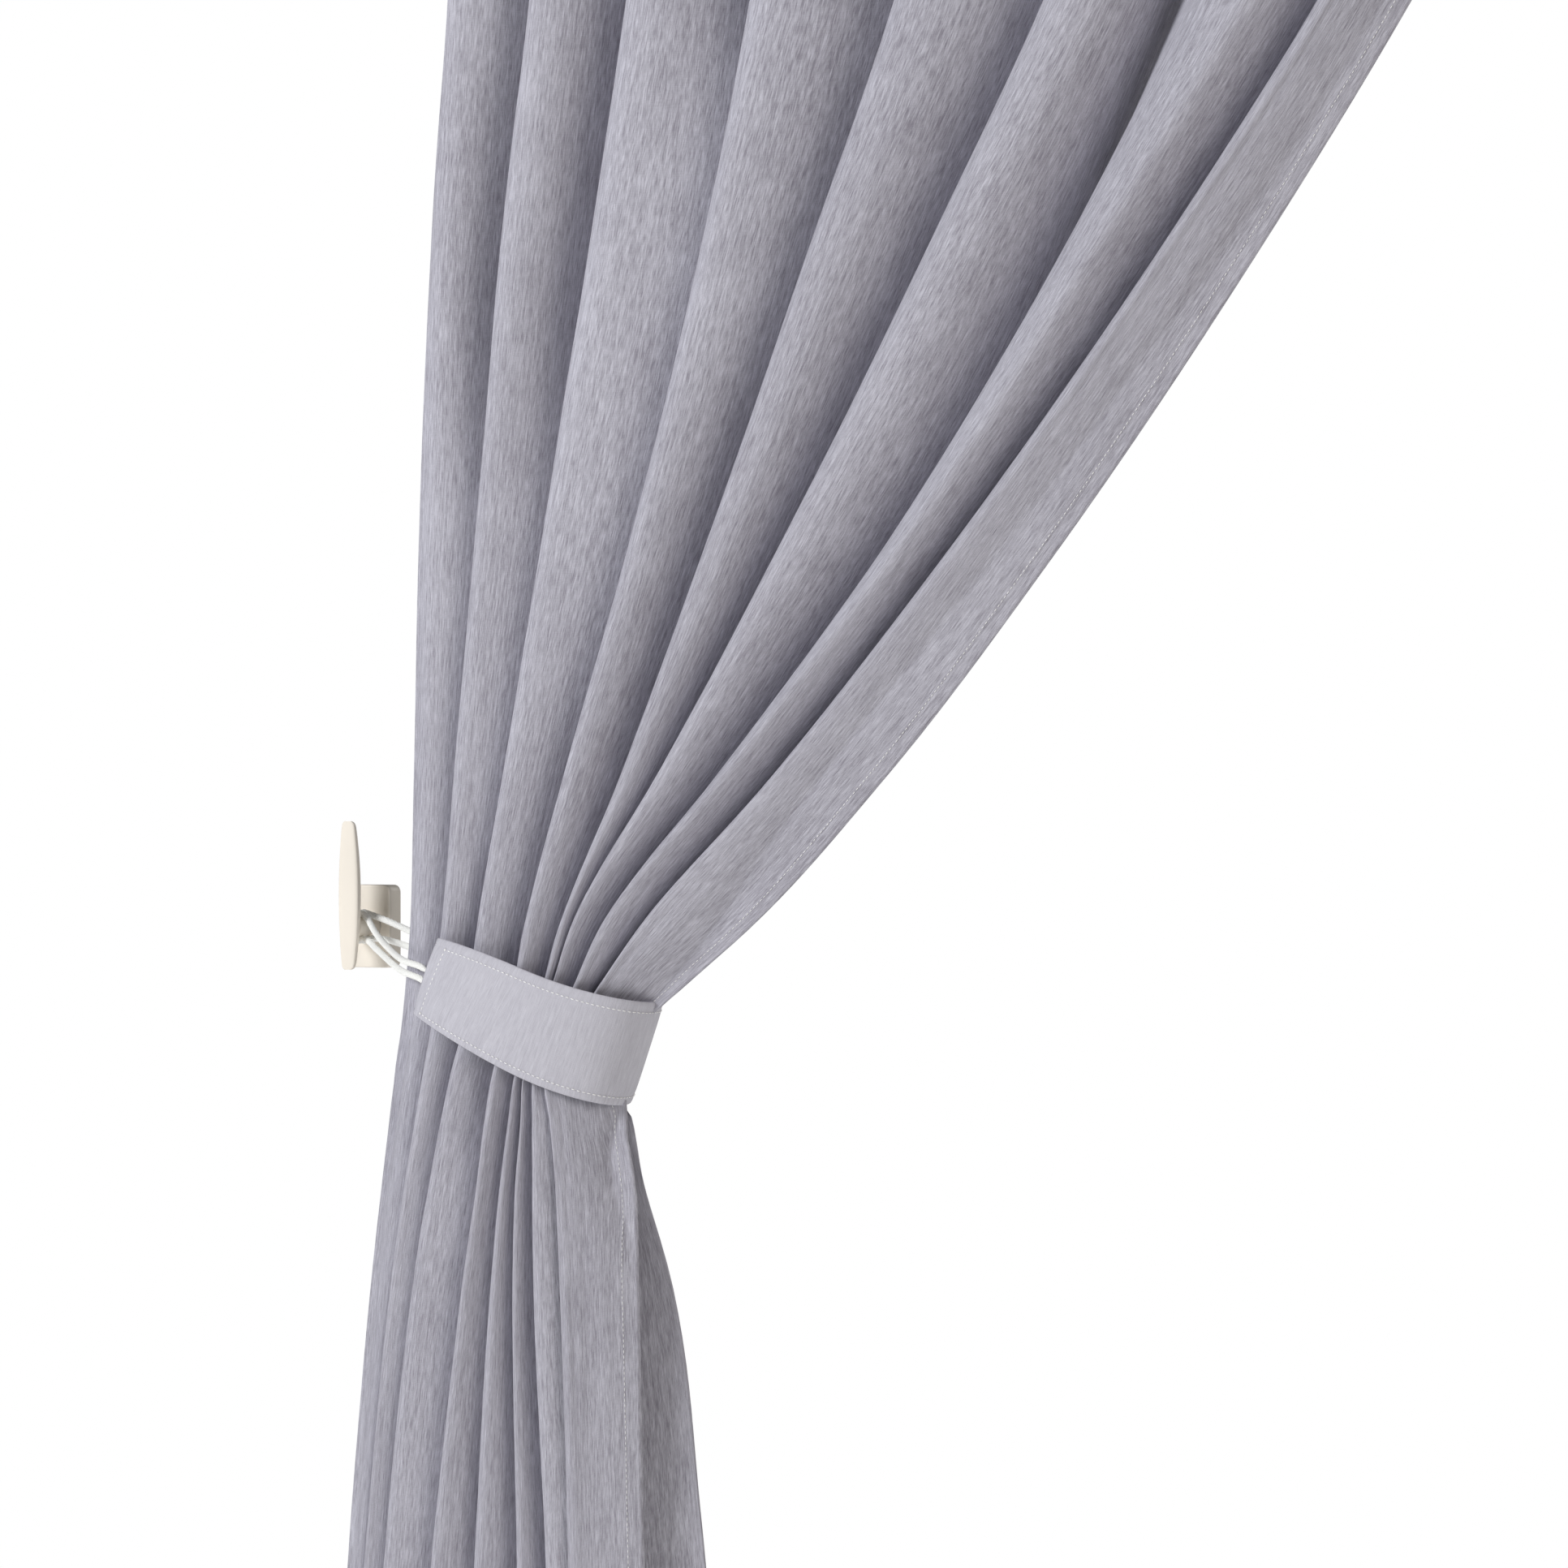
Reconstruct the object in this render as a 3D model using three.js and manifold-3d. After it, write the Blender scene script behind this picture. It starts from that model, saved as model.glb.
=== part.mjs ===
// A tied-back window curtain on a telescopic rod, in millimetres, +Z up.
// X runs along the rod, the wall is the plane Y = 0 and the room is on its -Y side.
// The origin is the middle of the left bracket's back face, level with the rod.
import * as THREE from "three";
import { mergeVertices } from "three/addons/utils/BufferGeometryUtils.js";
import Module from "manifold-3d";

// ---- Driving dimensions -------------------------------------------------------------------

// Rod and brackets
const BRACKET_SPAN = 980; // between the middles of the two brackets
const ROD_STANDOFF = 90; // wall to the rod's axis
const TUBE_R = 12.5; // outside of the thick tube
const TUBE_WALL = 1.2;
const SLIDE_GAP = 0.3; // between the thin tube and the thick one's bore
const OVERHANG = 50; // tube past each bracket
const THICK_TUBE_SHORT = 340; // the thick tube ends this far before the right bracket
const TUBE_OVERLAP = 420; // of the thin tube inside the thick one, at its shortest
const FINIAL = { ballR: 17, plug: 18, rim: 2, collar: 6, neckR: 8, neckX: 12 };
const PLATE = { width: 26, height: 76, thickness: 4, corner: 6, screwOffset: 27 };
const ARM = { width: 12, height: 14, wall: 3.6, lipHeight: 3 };
const GRUB_R = 2;

// Rings, eyelets and hooks
const RING_BORE_R = 19;
const RING_WIRE_R = 1.75;
const EYELET_BORE_R = 3.1;
const EYELET_WIRE_R = 0.9;
const HOOK_WIRE_R = 1;
const HOOK_DROP = 36; // eyelet to the foot of the hook
const HOOK_LEG_BACK = 6; // the leg hangs this far behind the rod's axis
const HEAD_CLEARANCE = 5.2; // eyelets to the curtain's head
const FIRST_RING_OUT = 28; // the first ring stays outside the left bracket
const LEAD_RING_IN = 108; // the last ring stops short of the right bracket
const FOLD_SHARES = [0.095, 0.1, 0.13, 0.155, 0.165, 0.155, 0.11, 0.09]; // of the head's width

// Curtain
const CURTAIN_DROP = 2246; // head to hem along the side that hangs straight
const HEAD_MARGIN = 9; // cloth past the end rings
const HEADER_HEIGHT = 75; // heading tape and pinched pleats
const TAPE_THICKNESS = 1.2;
const TAPE_INSET = 2; // from the header's top and foot
const PLEAT_DEPTH = 30; // of the pinched head
const FOLD_DEPTH = 66; // of the folds below the head
const HEM_DEPTH = 68;
const HEM_RISE = 240; // how far the tie lifts the leading corner
const HEM_SPREAD = { left: 73, right: 47 }; // past the tied bundle's sides

// Tie band and the bundle in it
const TIE_DROP = 1250; // rod's axis to the middle of the bundle
const BUNDLE = { x: -8, y: -75, halfWidth: 84, halfDepth: 39 };
const WAIST = { pull: 20, under: 85, reach: 55 }; // the bundle's right side, under the band
const BAND = { thickness: 4, gap: 2.2, widthMiddle: 75, widthEnds: 56 };
const BAND_FRONT_END = -138; // degrees round the bundle, 0 at its right side, -90 at its front
const BAND_BACK_END = 135;
const BAND_SIDE_DROP = 23; // the band's middle below the bundle's, at the right
const BAND_RISE = { front: 57, back: 68 }; // from there up to its two ends
const CORD_R = 2;
const CORD_SLACK = 0.8; // round the stem
const CORD_STEPS = 48;

// Wall hook
const HOOK = { x: -168.6, aboveTie: 62.4 };
const BASE = { width: 35, height: 58, depth: 14, corner: 5, scoopR: 60, scoopDepth: 2.2 };
const STEM_R = 7;
const STEM_FLARE = 1.4; // where the stem meets the base
const BAR = { front: -42.5, length: 103.4, stemUp: 29.7, width: 16.4, waist: 6.5, thickness: 6 };
const BAR_THINNING = 2.5; // from its middle to its ends
const HOOK_SCREW_OFFSET = 19;

const SCREW = { shankR: 2, headR: 3.9, headHeight: 2.4, length: 34 };
const GAP = 0.3; // between pieces that touch

// ---- Places worked out from them ----------------------------------------------------------

const thinTubeR = TUBE_R - TUBE_WALL - SLIDE_GAP;
const thickTubeEnd = BRACKET_SPAN - THICK_TUBE_SHORT;
const thinTubeStart = thickTubeEnd - TUBE_OVERLAP;
const ringZ = TUBE_R + GAP - RING_BORE_R;
const ringBottom = ringZ - RING_BORE_R - 2 * RING_WIRE_R;
const eyeletZ = ringBottom - GAP - EYELET_BORE_R - 2 * EYELET_WIRE_R;
const curtainTop = eyeletZ - EYELET_BORE_R - 2 * EYELET_WIRE_R - HEAD_CLEARANCE;
const hookLegY = -ROD_STANDOFF + HOOK_LEG_BACK;
const tapeBack = hookLegY - HOOK_WIRE_R - GAP;
const clothBack = tapeBack - TAPE_THICKNESS - GAP;
const firstRingX = -FIRST_RING_OUT;
const headWidth = BRACKET_SPAN - LEAD_RING_IN + FIRST_RING_OUT;
const headLeft = firstRingX - HEAD_MARGIN;
const headRight = firstRingX + headWidth + HEAD_MARGIN;
const tieZ = -TIE_DROP;
const hemZ = curtainTop - CURTAIN_DROP;
const hookZ = tieZ + HOOK.aboveTie;

// ---- Materials ----------------------------------------------------------------------------

const paint = (color, roughness, metalness = 0) =>
  new THREE.MeshStandardMaterial({ color, roughness, metalness });
const ivory = paint(0xf0e6da, 0.45);
const ivoryMetal = paint(0xebe2d6, 0.35, 0.1);
const steel = paint(0xb9bcc0, 0.3, 1);
const curtainCloth = paint(0x9c9bab, 0.9);
const bandCloth = paint(0xb4b5c0, 0.9);
const tapeCloth = paint(0xe6e6e8, 0.95);
const cordWhite = paint(0xe8e8e4, 0.85);

// ---- Helpers ------------------------------------------------------------------------------

const wasm = await Module();
wasm.setup();

const part = new THREE.Group();
const mix = THREE.MathUtils.lerp;
const clamp01 = (t) => THREE.MathUtils.clamp(t, 0, 1);

function add(name, geometry, material, x = 0, y = 0, z = 0) {
  const mesh = new THREE.Mesh(geometry, material);
  mesh.name = name;
  mesh.position.set(x, y, z);
  part.add(mesh);
}

function toSolid(geometry) {
  const bare = geometry.clone();
  bare.deleteAttribute("normal");
  bare.deleteAttribute("uv");
  const merged = mergeVertices(bare, 1e-4);
  const vertProperties = merged.attributes.position.array;
  const triVerts = new Uint32Array(merged.index.array);
  return new wasm.Manifold(new wasm.Mesh({ numProp: 3, vertProperties, triVerts }));
}

function toGeometry(solid) {
  const mesh = solid.getMesh();
  const geometry = new THREE.BufferGeometry();
  geometry.setAttribute("position", new THREE.BufferAttribute(mesh.vertProperties, 3));
  geometry.setIndex(new THREE.BufferAttribute(mesh.triVerts, 1));
  geometry.computeVertexNormals();
  return geometry;
}

// A closed body through a list of rings, each a list of as many points, with flat end caps.
// The rings turn anticlockwise about the way they are stacked.
function loft(rings) {
  const count = rings[0].length;
  const middle = (ring) =>
    ring.reduce((sum, p) => sum.add(p), new THREE.Vector3()).divideScalar(count);
  const points = [...rings.flat(), middle(rings[0]), middle(rings.at(-1))];
  const faces = [];
  for (let i = 0; i < count; i++) {
    const j = (i + 1) % count;
    for (let k = 0; k < rings.length - 1; k++) {
      const [a, b] = [k * count, (k + 1) * count];
      faces.push(a + i, a + j, b + j, a + i, b + j, b + i);
    }
    const last = (rings.length - 1) * count;
    faces.push(points.length - 2, j, i, points.length - 1, last + i, last + j);
  }
  const geometry = new THREE.BufferGeometry().setFromPoints(points);
  geometry.setIndex(faces);
  geometry.computeVertexNormals();
  return geometry;
}

// A profile of [radius, length] turned about the X axis, lengths growing to the right.
function turnedAlongX(profile, segments) {
  const points = profile.map(([r, x]) => new THREE.Vector2(r, x));
  return new THREE.LatheGeometry(points, segments).rotateZ(-Math.PI / 2);
}

function tubeAlongX(outerR, innerR, length) {
  const [o, i] = [outerR, innerR];
  return turnedAlongX([[i, 0], [o, 0], [o, length], [i, length], [i, 0]], 32);
}

// A round wire or cord along a smooth path of [x, y, z] points.
function sweptRound(points, radius, sides, steps) {
  const section = new THREE.Shape();
  for (let k = 0; k < sides; k++) {
    const turn = (2 * Math.PI * k) / sides;
    const move = k ? "lineTo" : "moveTo";
    section[move](radius * Math.cos(turn), radius * Math.sin(turn));
  }
  const path = points.map((p) => new THREE.Vector3(...p));
  const extrudePath = new THREE.CatmullRomCurve3(path, false, "centripetal");
  return new THREE.ExtrudeGeometry(section, { steps, bevelEnabled: false, extrudePath });
}

function roundedRectangle(width, height, corner) {
  const [w, h] = [width / 2 - corner, height / 2 - corner];
  const shape = new THREE.Shape();
  shape.absarc(w, h, corner, 0, Math.PI / 2);
  shape.absarc(-w, h, corner, Math.PI / 2, Math.PI);
  shape.absarc(-w, -h, corner, Math.PI, 1.5 * Math.PI);
  shape.absarc(w, -h, corner, 1.5 * Math.PI, 2 * Math.PI);
  return shape;
}

// A plate standing on the wall with its outline in the XZ plane, its back face at Y = 0.
function wallBlock(shape, depth) {
  const options = { depth, bevelEnabled: false, curveSegments: 4 };
  return new THREE.ExtrudeGeometry(shape, options).rotateX(Math.PI / 2);
}

// A countersunk screw pointing into the wall, its head's face at Y = 0; grown makes its hole.
function screw(grown = 0) {
  const [shank, head] = [SCREW.shankR + grown, SCREW.headR + grown];
  const under = SCREW.headHeight + grown;
  const profile = [[0, -grown], [head, -grown], [head, 0.4], [shank, under]];
  const tip = [[shank, SCREW.length - 5], [0, SCREW.length]];
  const points = [...profile, ...tip].map(([r, y]) => new THREE.Vector2(r, y));
  return new THREE.LatheGeometry(points, 12);
}

// Two screws one above the other through a block whose front face is at frontY.
function screwPair(name, x, frontY, z, offset) {
  for (const [level, side] of [["upper", 1], ["lower", -1]])
    add(`${name}_screw_${level}`, screw(), steel, x, frontY, z + side * offset);
}

function drillScrewHoles(solid, frontY, offset) {
  for (const side of [1, -1])
    solid = solid.subtract(toSolid(screw(GAP).translate(0, frontY, side * offset)));
  return solid;
}

// ---- Rod, finials and brackets ------------------------------------------------------------

// A ball on a stepped collar, with a plug that goes into the tube's bore.
function finial(boreR, tubeR) {
  const plugR = boreR - SLIDE_GAP;
  const rimR = tubeR + FINIAL.rim;
  const neck = Math.asin(FINIAL.neckR / FINIAL.ballR);
  const ballX = FINIAL.neckX + FINIAL.ballR * Math.cos(neck);
  const profile = [[0, -FINIAL.plug], [plugR, -FINIAL.plug], [plugR, GAP], [rimR, GAP]];
  profile.push([rimR, FINIAL.collar]);
  for (let k = 0; k <= 10; k++) {
    const turn = mix(neck, Math.PI, k / 10);
    const radius = k < 10 ? FINIAL.ballR * Math.sin(turn) : 0;
    profile.push([radius, ballX - FINIAL.ballR * Math.cos(turn)]);
  }
  return turnedAlongX(profile, 24);
}

function addRod() {
  const bore = TUBE_R - TUBE_WALL;
  const thickLength = thickTubeEnd + OVERHANG;
  const thinEnd = BRACKET_SPAN + OVERHANG;
  const thick = tubeAlongX(TUBE_R, bore, thickLength);
  const thin = tubeAlongX(thinTubeR, thinTubeR - TUBE_WALL, thinEnd - thinTubeStart);
  add("rod_outer_tube", thick, ivoryMetal, -OVERHANG, -ROD_STANDOFF);
  add("rod_inner_tube", thin, ivoryMetal, thinTubeStart, -ROD_STANDOFF);
  const left = finial(bore, TUBE_R).rotateZ(Math.PI);
  const right = finial(thinTubeR - TUBE_WALL, thinTubeR);
  add("finial_left", left, ivoryMetal, -OVERHANG, -ROD_STANDOFF);
  add("finial_right", right, ivoryMetal, thinEnd, -ROD_STANDOFF);
}

// A wall plate with an arm that ends in an open cradle under the tube.
function addBracket(name, x, tubeR) {
  const bore = tubeR + GAP;
  const outer = bore + ARM.wall;
  const [top, bottom] = [ARM.height / 2, -ARM.height / 2];
  const topAngle = Math.PI - Math.asin(top / bore);
  const lipAngle = Math.asin(ARM.lipHeight / bore);
  const outline = new THREE.Shape();
  outline.moveTo(PLATE.thickness - 1, top);
  outline.lineTo(ROD_STANDOFF + bore * Math.cos(topAngle), top);
  outline.absarc(ROD_STANDOFF, 0, bore, topAngle, 2 * Math.PI + lipAngle, false);
  outline.absarc(ROD_STANDOFF, 0, outer, lipAngle, -Math.PI + Math.asin(-bottom / outer), true);
  outline.lineTo(PLATE.thickness - 1, bottom);
  // The outline is drawn with the distance from the wall first and the height second.
  const options = { depth: ARM.width, bevelEnabled: false, curveSegments: 12 };
  const arm = new THREE.ExtrudeGeometry(outline, options).translate(0, 0, -ARM.width / 2);
  arm.rotateX(Math.PI / 2).rotateZ(-Math.PI / 2);
  const plate = wallBlock(
    roundedRectangle(PLATE.width, PLATE.height, PLATE.corner), PLATE.thickness);
  let solid = toSolid(plate).add(toSolid(arm));
  solid = drillScrewHoles(solid, -PLATE.thickness, PLATE.screwOffset);
  const hole = new THREE.CylinderGeometry(GRUB_R + GAP, GRUB_R + GAP, 3 * ARM.wall, 12);
  hole.rotateX(Math.PI / 2).translate(0, -ROD_STANDOFF, -outer);
  add(name, toGeometry(solid.subtract(toSolid(hole))), ivoryMetal, x);
  const grubLength = ARM.wall + 3;
  const grub = new THREE.CylinderGeometry(GRUB_R, GRUB_R, grubLength, 12).rotateX(Math.PI / 2);
  const grubTop = -tubeR - GAP;
  add(`${name}_grub_screw`, grub, steel, x, -ROD_STANDOFF, grubTop - grubLength / 2);
  screwPair(name, x, -PLATE.thickness, 0, PLATE.screwOffset);
}

// ---- Rings with their eyelets and pleat hooks ---------------------------------------------

function addRing(number, x) {
  const ring = new THREE.TorusGeometry(RING_BORE_R + RING_WIRE_R, RING_WIRE_R, 6, 24);
  const eyelet = new THREE.TorusGeometry(EYELET_BORE_R + EYELET_WIRE_R, EYELET_WIRE_R, 6, 12);
  add(`ring_${number}`, ring.rotateY(Math.PI / 2), ivoryMetal, x, -ROD_STANDOFF, ringZ);
  add(`eyelet_${number}`, eyelet.rotateX(Math.PI / 2), steel, x, -ROD_STANDOFF, eyeletZ);
  // The hook's nose goes over the eyelet's lower wire and its leg hangs behind the tape.
  const seat = eyeletZ - EYELET_BORE_R + HOOK_WIRE_R + GAP;
  const noseY = -ROD_STANDOFF - 4.2;
  const hook = [
    [0, noseY, seat - 4.4],
    [0, noseY + 0.2, seat - 1.6],
    [0, -ROD_STANDOFF - 2, seat + 0.5],
    [0, -ROD_STANDOFF, seat + 0.8],
    [0, hookLegY - 2.2, seat + 0.2],
    [0, hookLegY - 0.2, seat - 2.6],
    [0, hookLegY, seat - 10],
    [0, hookLegY, eyeletZ - HOOK_DROP],
  ];
  add(`pleat_hook_${number}`, sweptRound(hook, HOOK_WIRE_R, 6, 14), steel, x);
}

function addRings() {
  let x = firstRingX;
  addRing(1, x);
  FOLD_SHARES.forEach((share, i) => {
    x += share * headWidth;
    addRing(i + 2, x);
  });
}

// ---- Curtain ------------------------------------------------------------------------------

// Where the curtain's outline is at height z: its two sides, its middle and its half depth.
function curtainSection(z) {
  const down = clamp01((curtainTop - z) / (curtainTop - tieZ));
  const under = clamp01((tieZ - z) / (tieZ - hemZ));
  const spread = 1 - (1 - under) ** 2;
  const tieLeft = BUNDLE.x - BUNDLE.halfWidth;
  const tieRight = BUNDLE.x + BUNDLE.halfWidth;
  const left = mix(headLeft, tieLeft, down ** 1.3) - HEM_SPREAD.left * spread;
  const waist = WAIST.pull * Math.exp(-(((z - tieZ + WAIST.under) / WAIST.reach) ** 2));
  const right = mix(headRight, tieRight, down ** 1.5) + HEM_SPREAD.right * spread - waist;
  const freed = THREE.MathUtils.smoothstep(curtainTop - z, HEADER_HEIGHT, 3 * HEADER_HEIGHT);
  const hang = mix(clothBack - PLEAT_DEPTH / 2, -ROD_STANDOFF, freed);
  const fold = mix(PLEAT_DEPTH, FOLD_DEPTH, freed) / 2;
  const squareness = mix(mix(8, 2, down ** 2), 5, Math.sqrt(under));
  return {
    middle: (left + right) / 2,
    halfWidth: (right - left) / 2,
    y: mix(hang, BUNDLE.y, down ** 3),
    halfDepth: mix(mix(fold, BUNDLE.halfDepth, down ** 3), HEM_DEPTH / 2, under),
    power: 2 / squareness,
    lift: HEM_RISE * under ** 2,
  };
}

// The point of the curtain's outline at an angle round it, seen from above, grown by a margin.
function curtainPoint(z, degrees, margin = 0) {
  const s = curtainSection(z);
  const turn = THREE.MathUtils.degToRad(degrees);
  const [c, d] = [Math.cos(turn), Math.sin(turn)];
  const across = Math.sign(c) * Math.abs(c) ** s.power;
  const deep = Math.sign(d) * Math.abs(d) ** s.power;
  const x = s.middle + (s.halfWidth + margin) * across;
  const y = s.y + (s.halfDepth + margin) * deep;
  return new THREE.Vector3(x, y, z + (s.lift * (across + 1)) / 2);
}

function addCurtain() {
  const heights = [curtainTop, curtainTop - HEADER_HEIGHT, curtainTop - 2 * HEADER_HEIGHT];
  const [bandTop, bandFoot] = [tieZ + BAND.widthMiddle, tieZ - 1.6 * BAND.widthMiddle];
  for (const [end, steps] of [[bandTop, 12], [bandFoot, 6], [hemZ, 7]]) {
    const start = heights.at(-1);
    for (let k = 1; k <= steps; k++) heights.push(mix(start, end, k / steps));
  }
  const corners = 24;
  const rings = heights.reverse().map((z) =>
    Array.from({ length: corners }, (_, i) => curtainPoint(z, (360 * i) / corners)));
  add("curtain_panel", loft(rings), curtainCloth);
  const tape = new THREE.BoxGeometry(headWidth, TAPE_THICKNESS, HEADER_HEIGHT - 2 * TAPE_INSET);
  const tapeX = firstRingX + headWidth / 2;
  const tapeY = tapeBack - TAPE_THICKNESS / 2;
  add("heading_tape", tape, tapeCloth, tapeX, tapeY, curtainTop - HEADER_HEIGHT / 2);
}

// ---- Tie band, its cords and the wall hook ------------------------------------------------

// The band runs from its front end round the bundle's right side to its back end, widest there.
function addBand() {
  const steps = 32;
  const rings = [];
  for (let k = 0; k <= steps; k++) {
    const degrees = mix(BAND_FRONT_END, BAND_BACK_END, k / steps);
    const side = degrees / (degrees < 0 ? BAND_FRONT_END : BAND_BACK_END);
    const rise = (degrees < 0 ? BAND_RISE.front : BAND_RISE.back) * Math.abs(side) ** 1.2;
    const middle = tieZ - BAND_SIDE_DROP + rise;
    const half = mix(BAND.widthMiddle, BAND.widthEnds, side ** 2) / 2;
    const ring = [];
    for (const z of [middle - half, middle, middle + half])
      ring.push(curtainPoint(z, degrees, BAND.gap));
    for (const z of [middle + half, middle, middle - half])
      ring.push(curtainPoint(z, degrees, BAND.gap + BAND.thickness));
    rings.push(ring);
  }
  add("tieback_band", loft(rings), bandCloth);
}

// Each cord leaves one end of the band, goes over the stem and comes back under it.
function addCordLoop(name, stemY, toStem, fromStem) {
  const over = STEM_R + CORD_R + CORD_SLACK;
  const round = [];
  for (const degrees of [60, 90, 120, 150, 180, 210, 240, 270, 300]) {
    const turn = THREE.MathUtils.degToRad(degrees);
    round.push([HOOK.x + over * Math.cos(turn), stemY, hookZ + over * Math.sin(turn)]);
  }
  add(name, sweptRound([...toStem, ...round, ...fromStem], CORD_R, 8, CORD_STEPS), cordWhite);
}

// A lens-shaped bar: widest and thickest in the middle, with round ends, its front nearly flat.
function barGeometry() {
  const rings = [];
  const steps = 16;
  for (let k = 0; k <= steps; k++) {
    const along = Math.sin(mix(-Math.PI / 2, Math.PI / 2, k / steps));
    const ending = Math.sqrt(1 - Math.min(1, Math.abs(along)) ** 24 * 0.75);
    const width = (BAR.width - BAR.waist * along ** 2) * ending;
    const thickness = (BAR.thickness - BAR_THINNING * along ** 2) * ending;
    const ring = [];
    for (let i = 0; i < 16; i++) {
      const turn = (2 * Math.PI * i) / 16;
      const [c, s] = [Math.cos(turn), Math.sin(turn)];
      const x = (Math.sign(c) * Math.abs(c) ** 0.5 * width) / 2;
      const y = (Math.sign(s) * Math.abs(s) ** 0.5 * thickness) / 2;
      ring.push(new THREE.Vector3(x, y + thickness / 2, (along * BAR.length) / 2));
    }
    rings.push(ring);
  }
  return loft(rings);
}

function addWallHook() {
  const block = wallBlock(roundedRectangle(BASE.width, BASE.height, BASE.corner), BASE.depth);
  const scoop = new THREE.CylinderGeometry(BASE.scoopR, BASE.scoopR, BASE.height + 10, 96);
  const scoopY = -BASE.depth - BASE.scoopR + BASE.scoopDepth;
  scoop.rotateX(Math.PI / 2).translate(0, scoopY, 0);
  const face = -BASE.depth + BASE.scoopDepth;
  let base = toSolid(block).subtract(toSolid(scoop));
  base = drillScrewHoles(base, face, HOOK_SCREW_OFFSET);
  add("hook_base", toGeometry(base), ivory, HOOK.x, 0, hookZ);
  screwPair("hook", HOOK.x, face, hookZ, HOOK_SCREW_OFFSET);

  const barUp = BAR.length / 2 - BAR.stemUp;
  add("hook_bar", barGeometry(), ivory, HOOK.x, BAR.front, hookZ + barUp);
  const off = barUp / (BAR.length / 2);
  const barBack = BAR.front + BAR.thickness - BAR_THINNING * off ** 2;
  const tip = barBack + GAP + 0.3;
  // The scooped face rises towards the foot's rim, so the foot stands clear of it there.
  const footR = STEM_R + STEM_FLARE;
  const foot = face - GAP - BASE.scoopR + Math.sqrt(BASE.scoopR ** 2 - footR ** 2);
  const profile = [[0, tip], [STEM_R, tip], [STEM_R, foot - 3], [footR, foot], [0, foot]];
  const points = profile.map(([r, y]) => new THREE.Vector2(r, y));
  add("hook_stem", new THREE.LatheGeometry(points, 20), ivory, HOOK.x, 0, hookZ);
}

// ---- The whole object ---------------------------------------------------------------------

addRod();
addBracket("bracket_left", 0, TUBE_R);
addBracket("bracket_right", BRACKET_SPAN, thinTubeR);
addRings();
addCurtain();
addBand();
addWallHook();
addCordLoop(
  "cord_loop_front",
  -29,
  [[-70.45, -105.2, -1212], [-92, -92.5, -1208.5], [-118, -68, -1202], [-146, -41, -1192]],
  [[-142, -46, -1203], [-117, -70, -1210], [-92, -93, -1216], [-71.45, -105, -1220]],
);
addCordLoop(
  "cord_loop_back",
  -21,
  [[-68.45, -45, -1201], [-114, -37, -1192], [-148, -25, -1183]],
  [[-148, -25, -1196.5], [-114, -38, -1202.5], [-69.05, -44.9, -1209]],
);

export default part;
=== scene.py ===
"""A tied-back window curtain on a telescopic rod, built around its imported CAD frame.

Metres, +Z up. X runs along the rod, the wall is the plane Y = 0 and the room is on its -Y side.
"""
import math

import bmesh
import bpy
import numpy as np
from mathutils import Matrix, Vector


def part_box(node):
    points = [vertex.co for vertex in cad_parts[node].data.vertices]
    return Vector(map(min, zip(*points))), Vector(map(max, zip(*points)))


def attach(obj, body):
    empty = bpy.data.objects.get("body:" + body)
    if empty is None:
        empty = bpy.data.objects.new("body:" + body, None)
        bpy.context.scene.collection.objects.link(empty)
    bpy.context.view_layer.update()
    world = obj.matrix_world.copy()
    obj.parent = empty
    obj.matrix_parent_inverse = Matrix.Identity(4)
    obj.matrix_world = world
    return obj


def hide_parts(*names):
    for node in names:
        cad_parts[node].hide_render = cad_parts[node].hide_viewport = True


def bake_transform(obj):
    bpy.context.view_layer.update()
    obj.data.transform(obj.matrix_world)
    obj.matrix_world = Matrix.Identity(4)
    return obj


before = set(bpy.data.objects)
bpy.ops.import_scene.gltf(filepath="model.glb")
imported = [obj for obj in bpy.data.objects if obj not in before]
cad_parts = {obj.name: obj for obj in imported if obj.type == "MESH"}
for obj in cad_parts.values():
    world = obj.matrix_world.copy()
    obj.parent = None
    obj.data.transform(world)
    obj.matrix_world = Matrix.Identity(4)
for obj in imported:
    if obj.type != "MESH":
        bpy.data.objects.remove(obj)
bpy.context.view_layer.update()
MM = 0.001


# ---- Places taken from the frame ----------------------------------------------------------


def middle(node):
    low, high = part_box(node)
    return (low + high) / 2


RINGS = 9
ring_x = [middle(f"ring_{k}").x for k in range(1, RINGS + 1)]
TOP_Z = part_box("curtain_panel")[1].z
HEM_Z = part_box("curtain_panel")[0].z
ROD = middle("rod_outer_tube")
HOOK = middle("hook_stem")
TIE_UNDER_HOOK = 0.0624
TIE_Z = HOOK.z - TIE_UNDER_HOOK

BODY_OF_RING = ["fixed_parts"] + [f"ring_{k}_slider" for k in range(2, RINGS + 1)]


# ---- Camera -------------------------------------------------------------------------------

VIEW_FROM = math.radians(28)  # round from straight in front, towards the leading edge
AIM = Vector((HOOK.x + 0.3189, 0.0049, HOOK.z + 0.0996))
DISTANCE = 4.0
toward = Vector((math.sin(VIEW_FROM), -math.cos(VIEW_FROM), 0))
camera = bpy.data.objects.new("camera", bpy.data.cameras.new("camera"))
bpy.context.scene.collection.objects.link(camera)
camera.location = AIM + DISTANCE * toward
camera.rotation_mode = "QUATERNION"
camera.rotation_quaternion = (-toward).to_track_quat("-Z", "Y")
camera.data.sensor_width = 36
camera.data.lens = 135.5
camera.data.clip_end = 50
bpy.context.scene.camera = camera


# ---- Mesh helpers -------------------------------------------------------------------------


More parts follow.
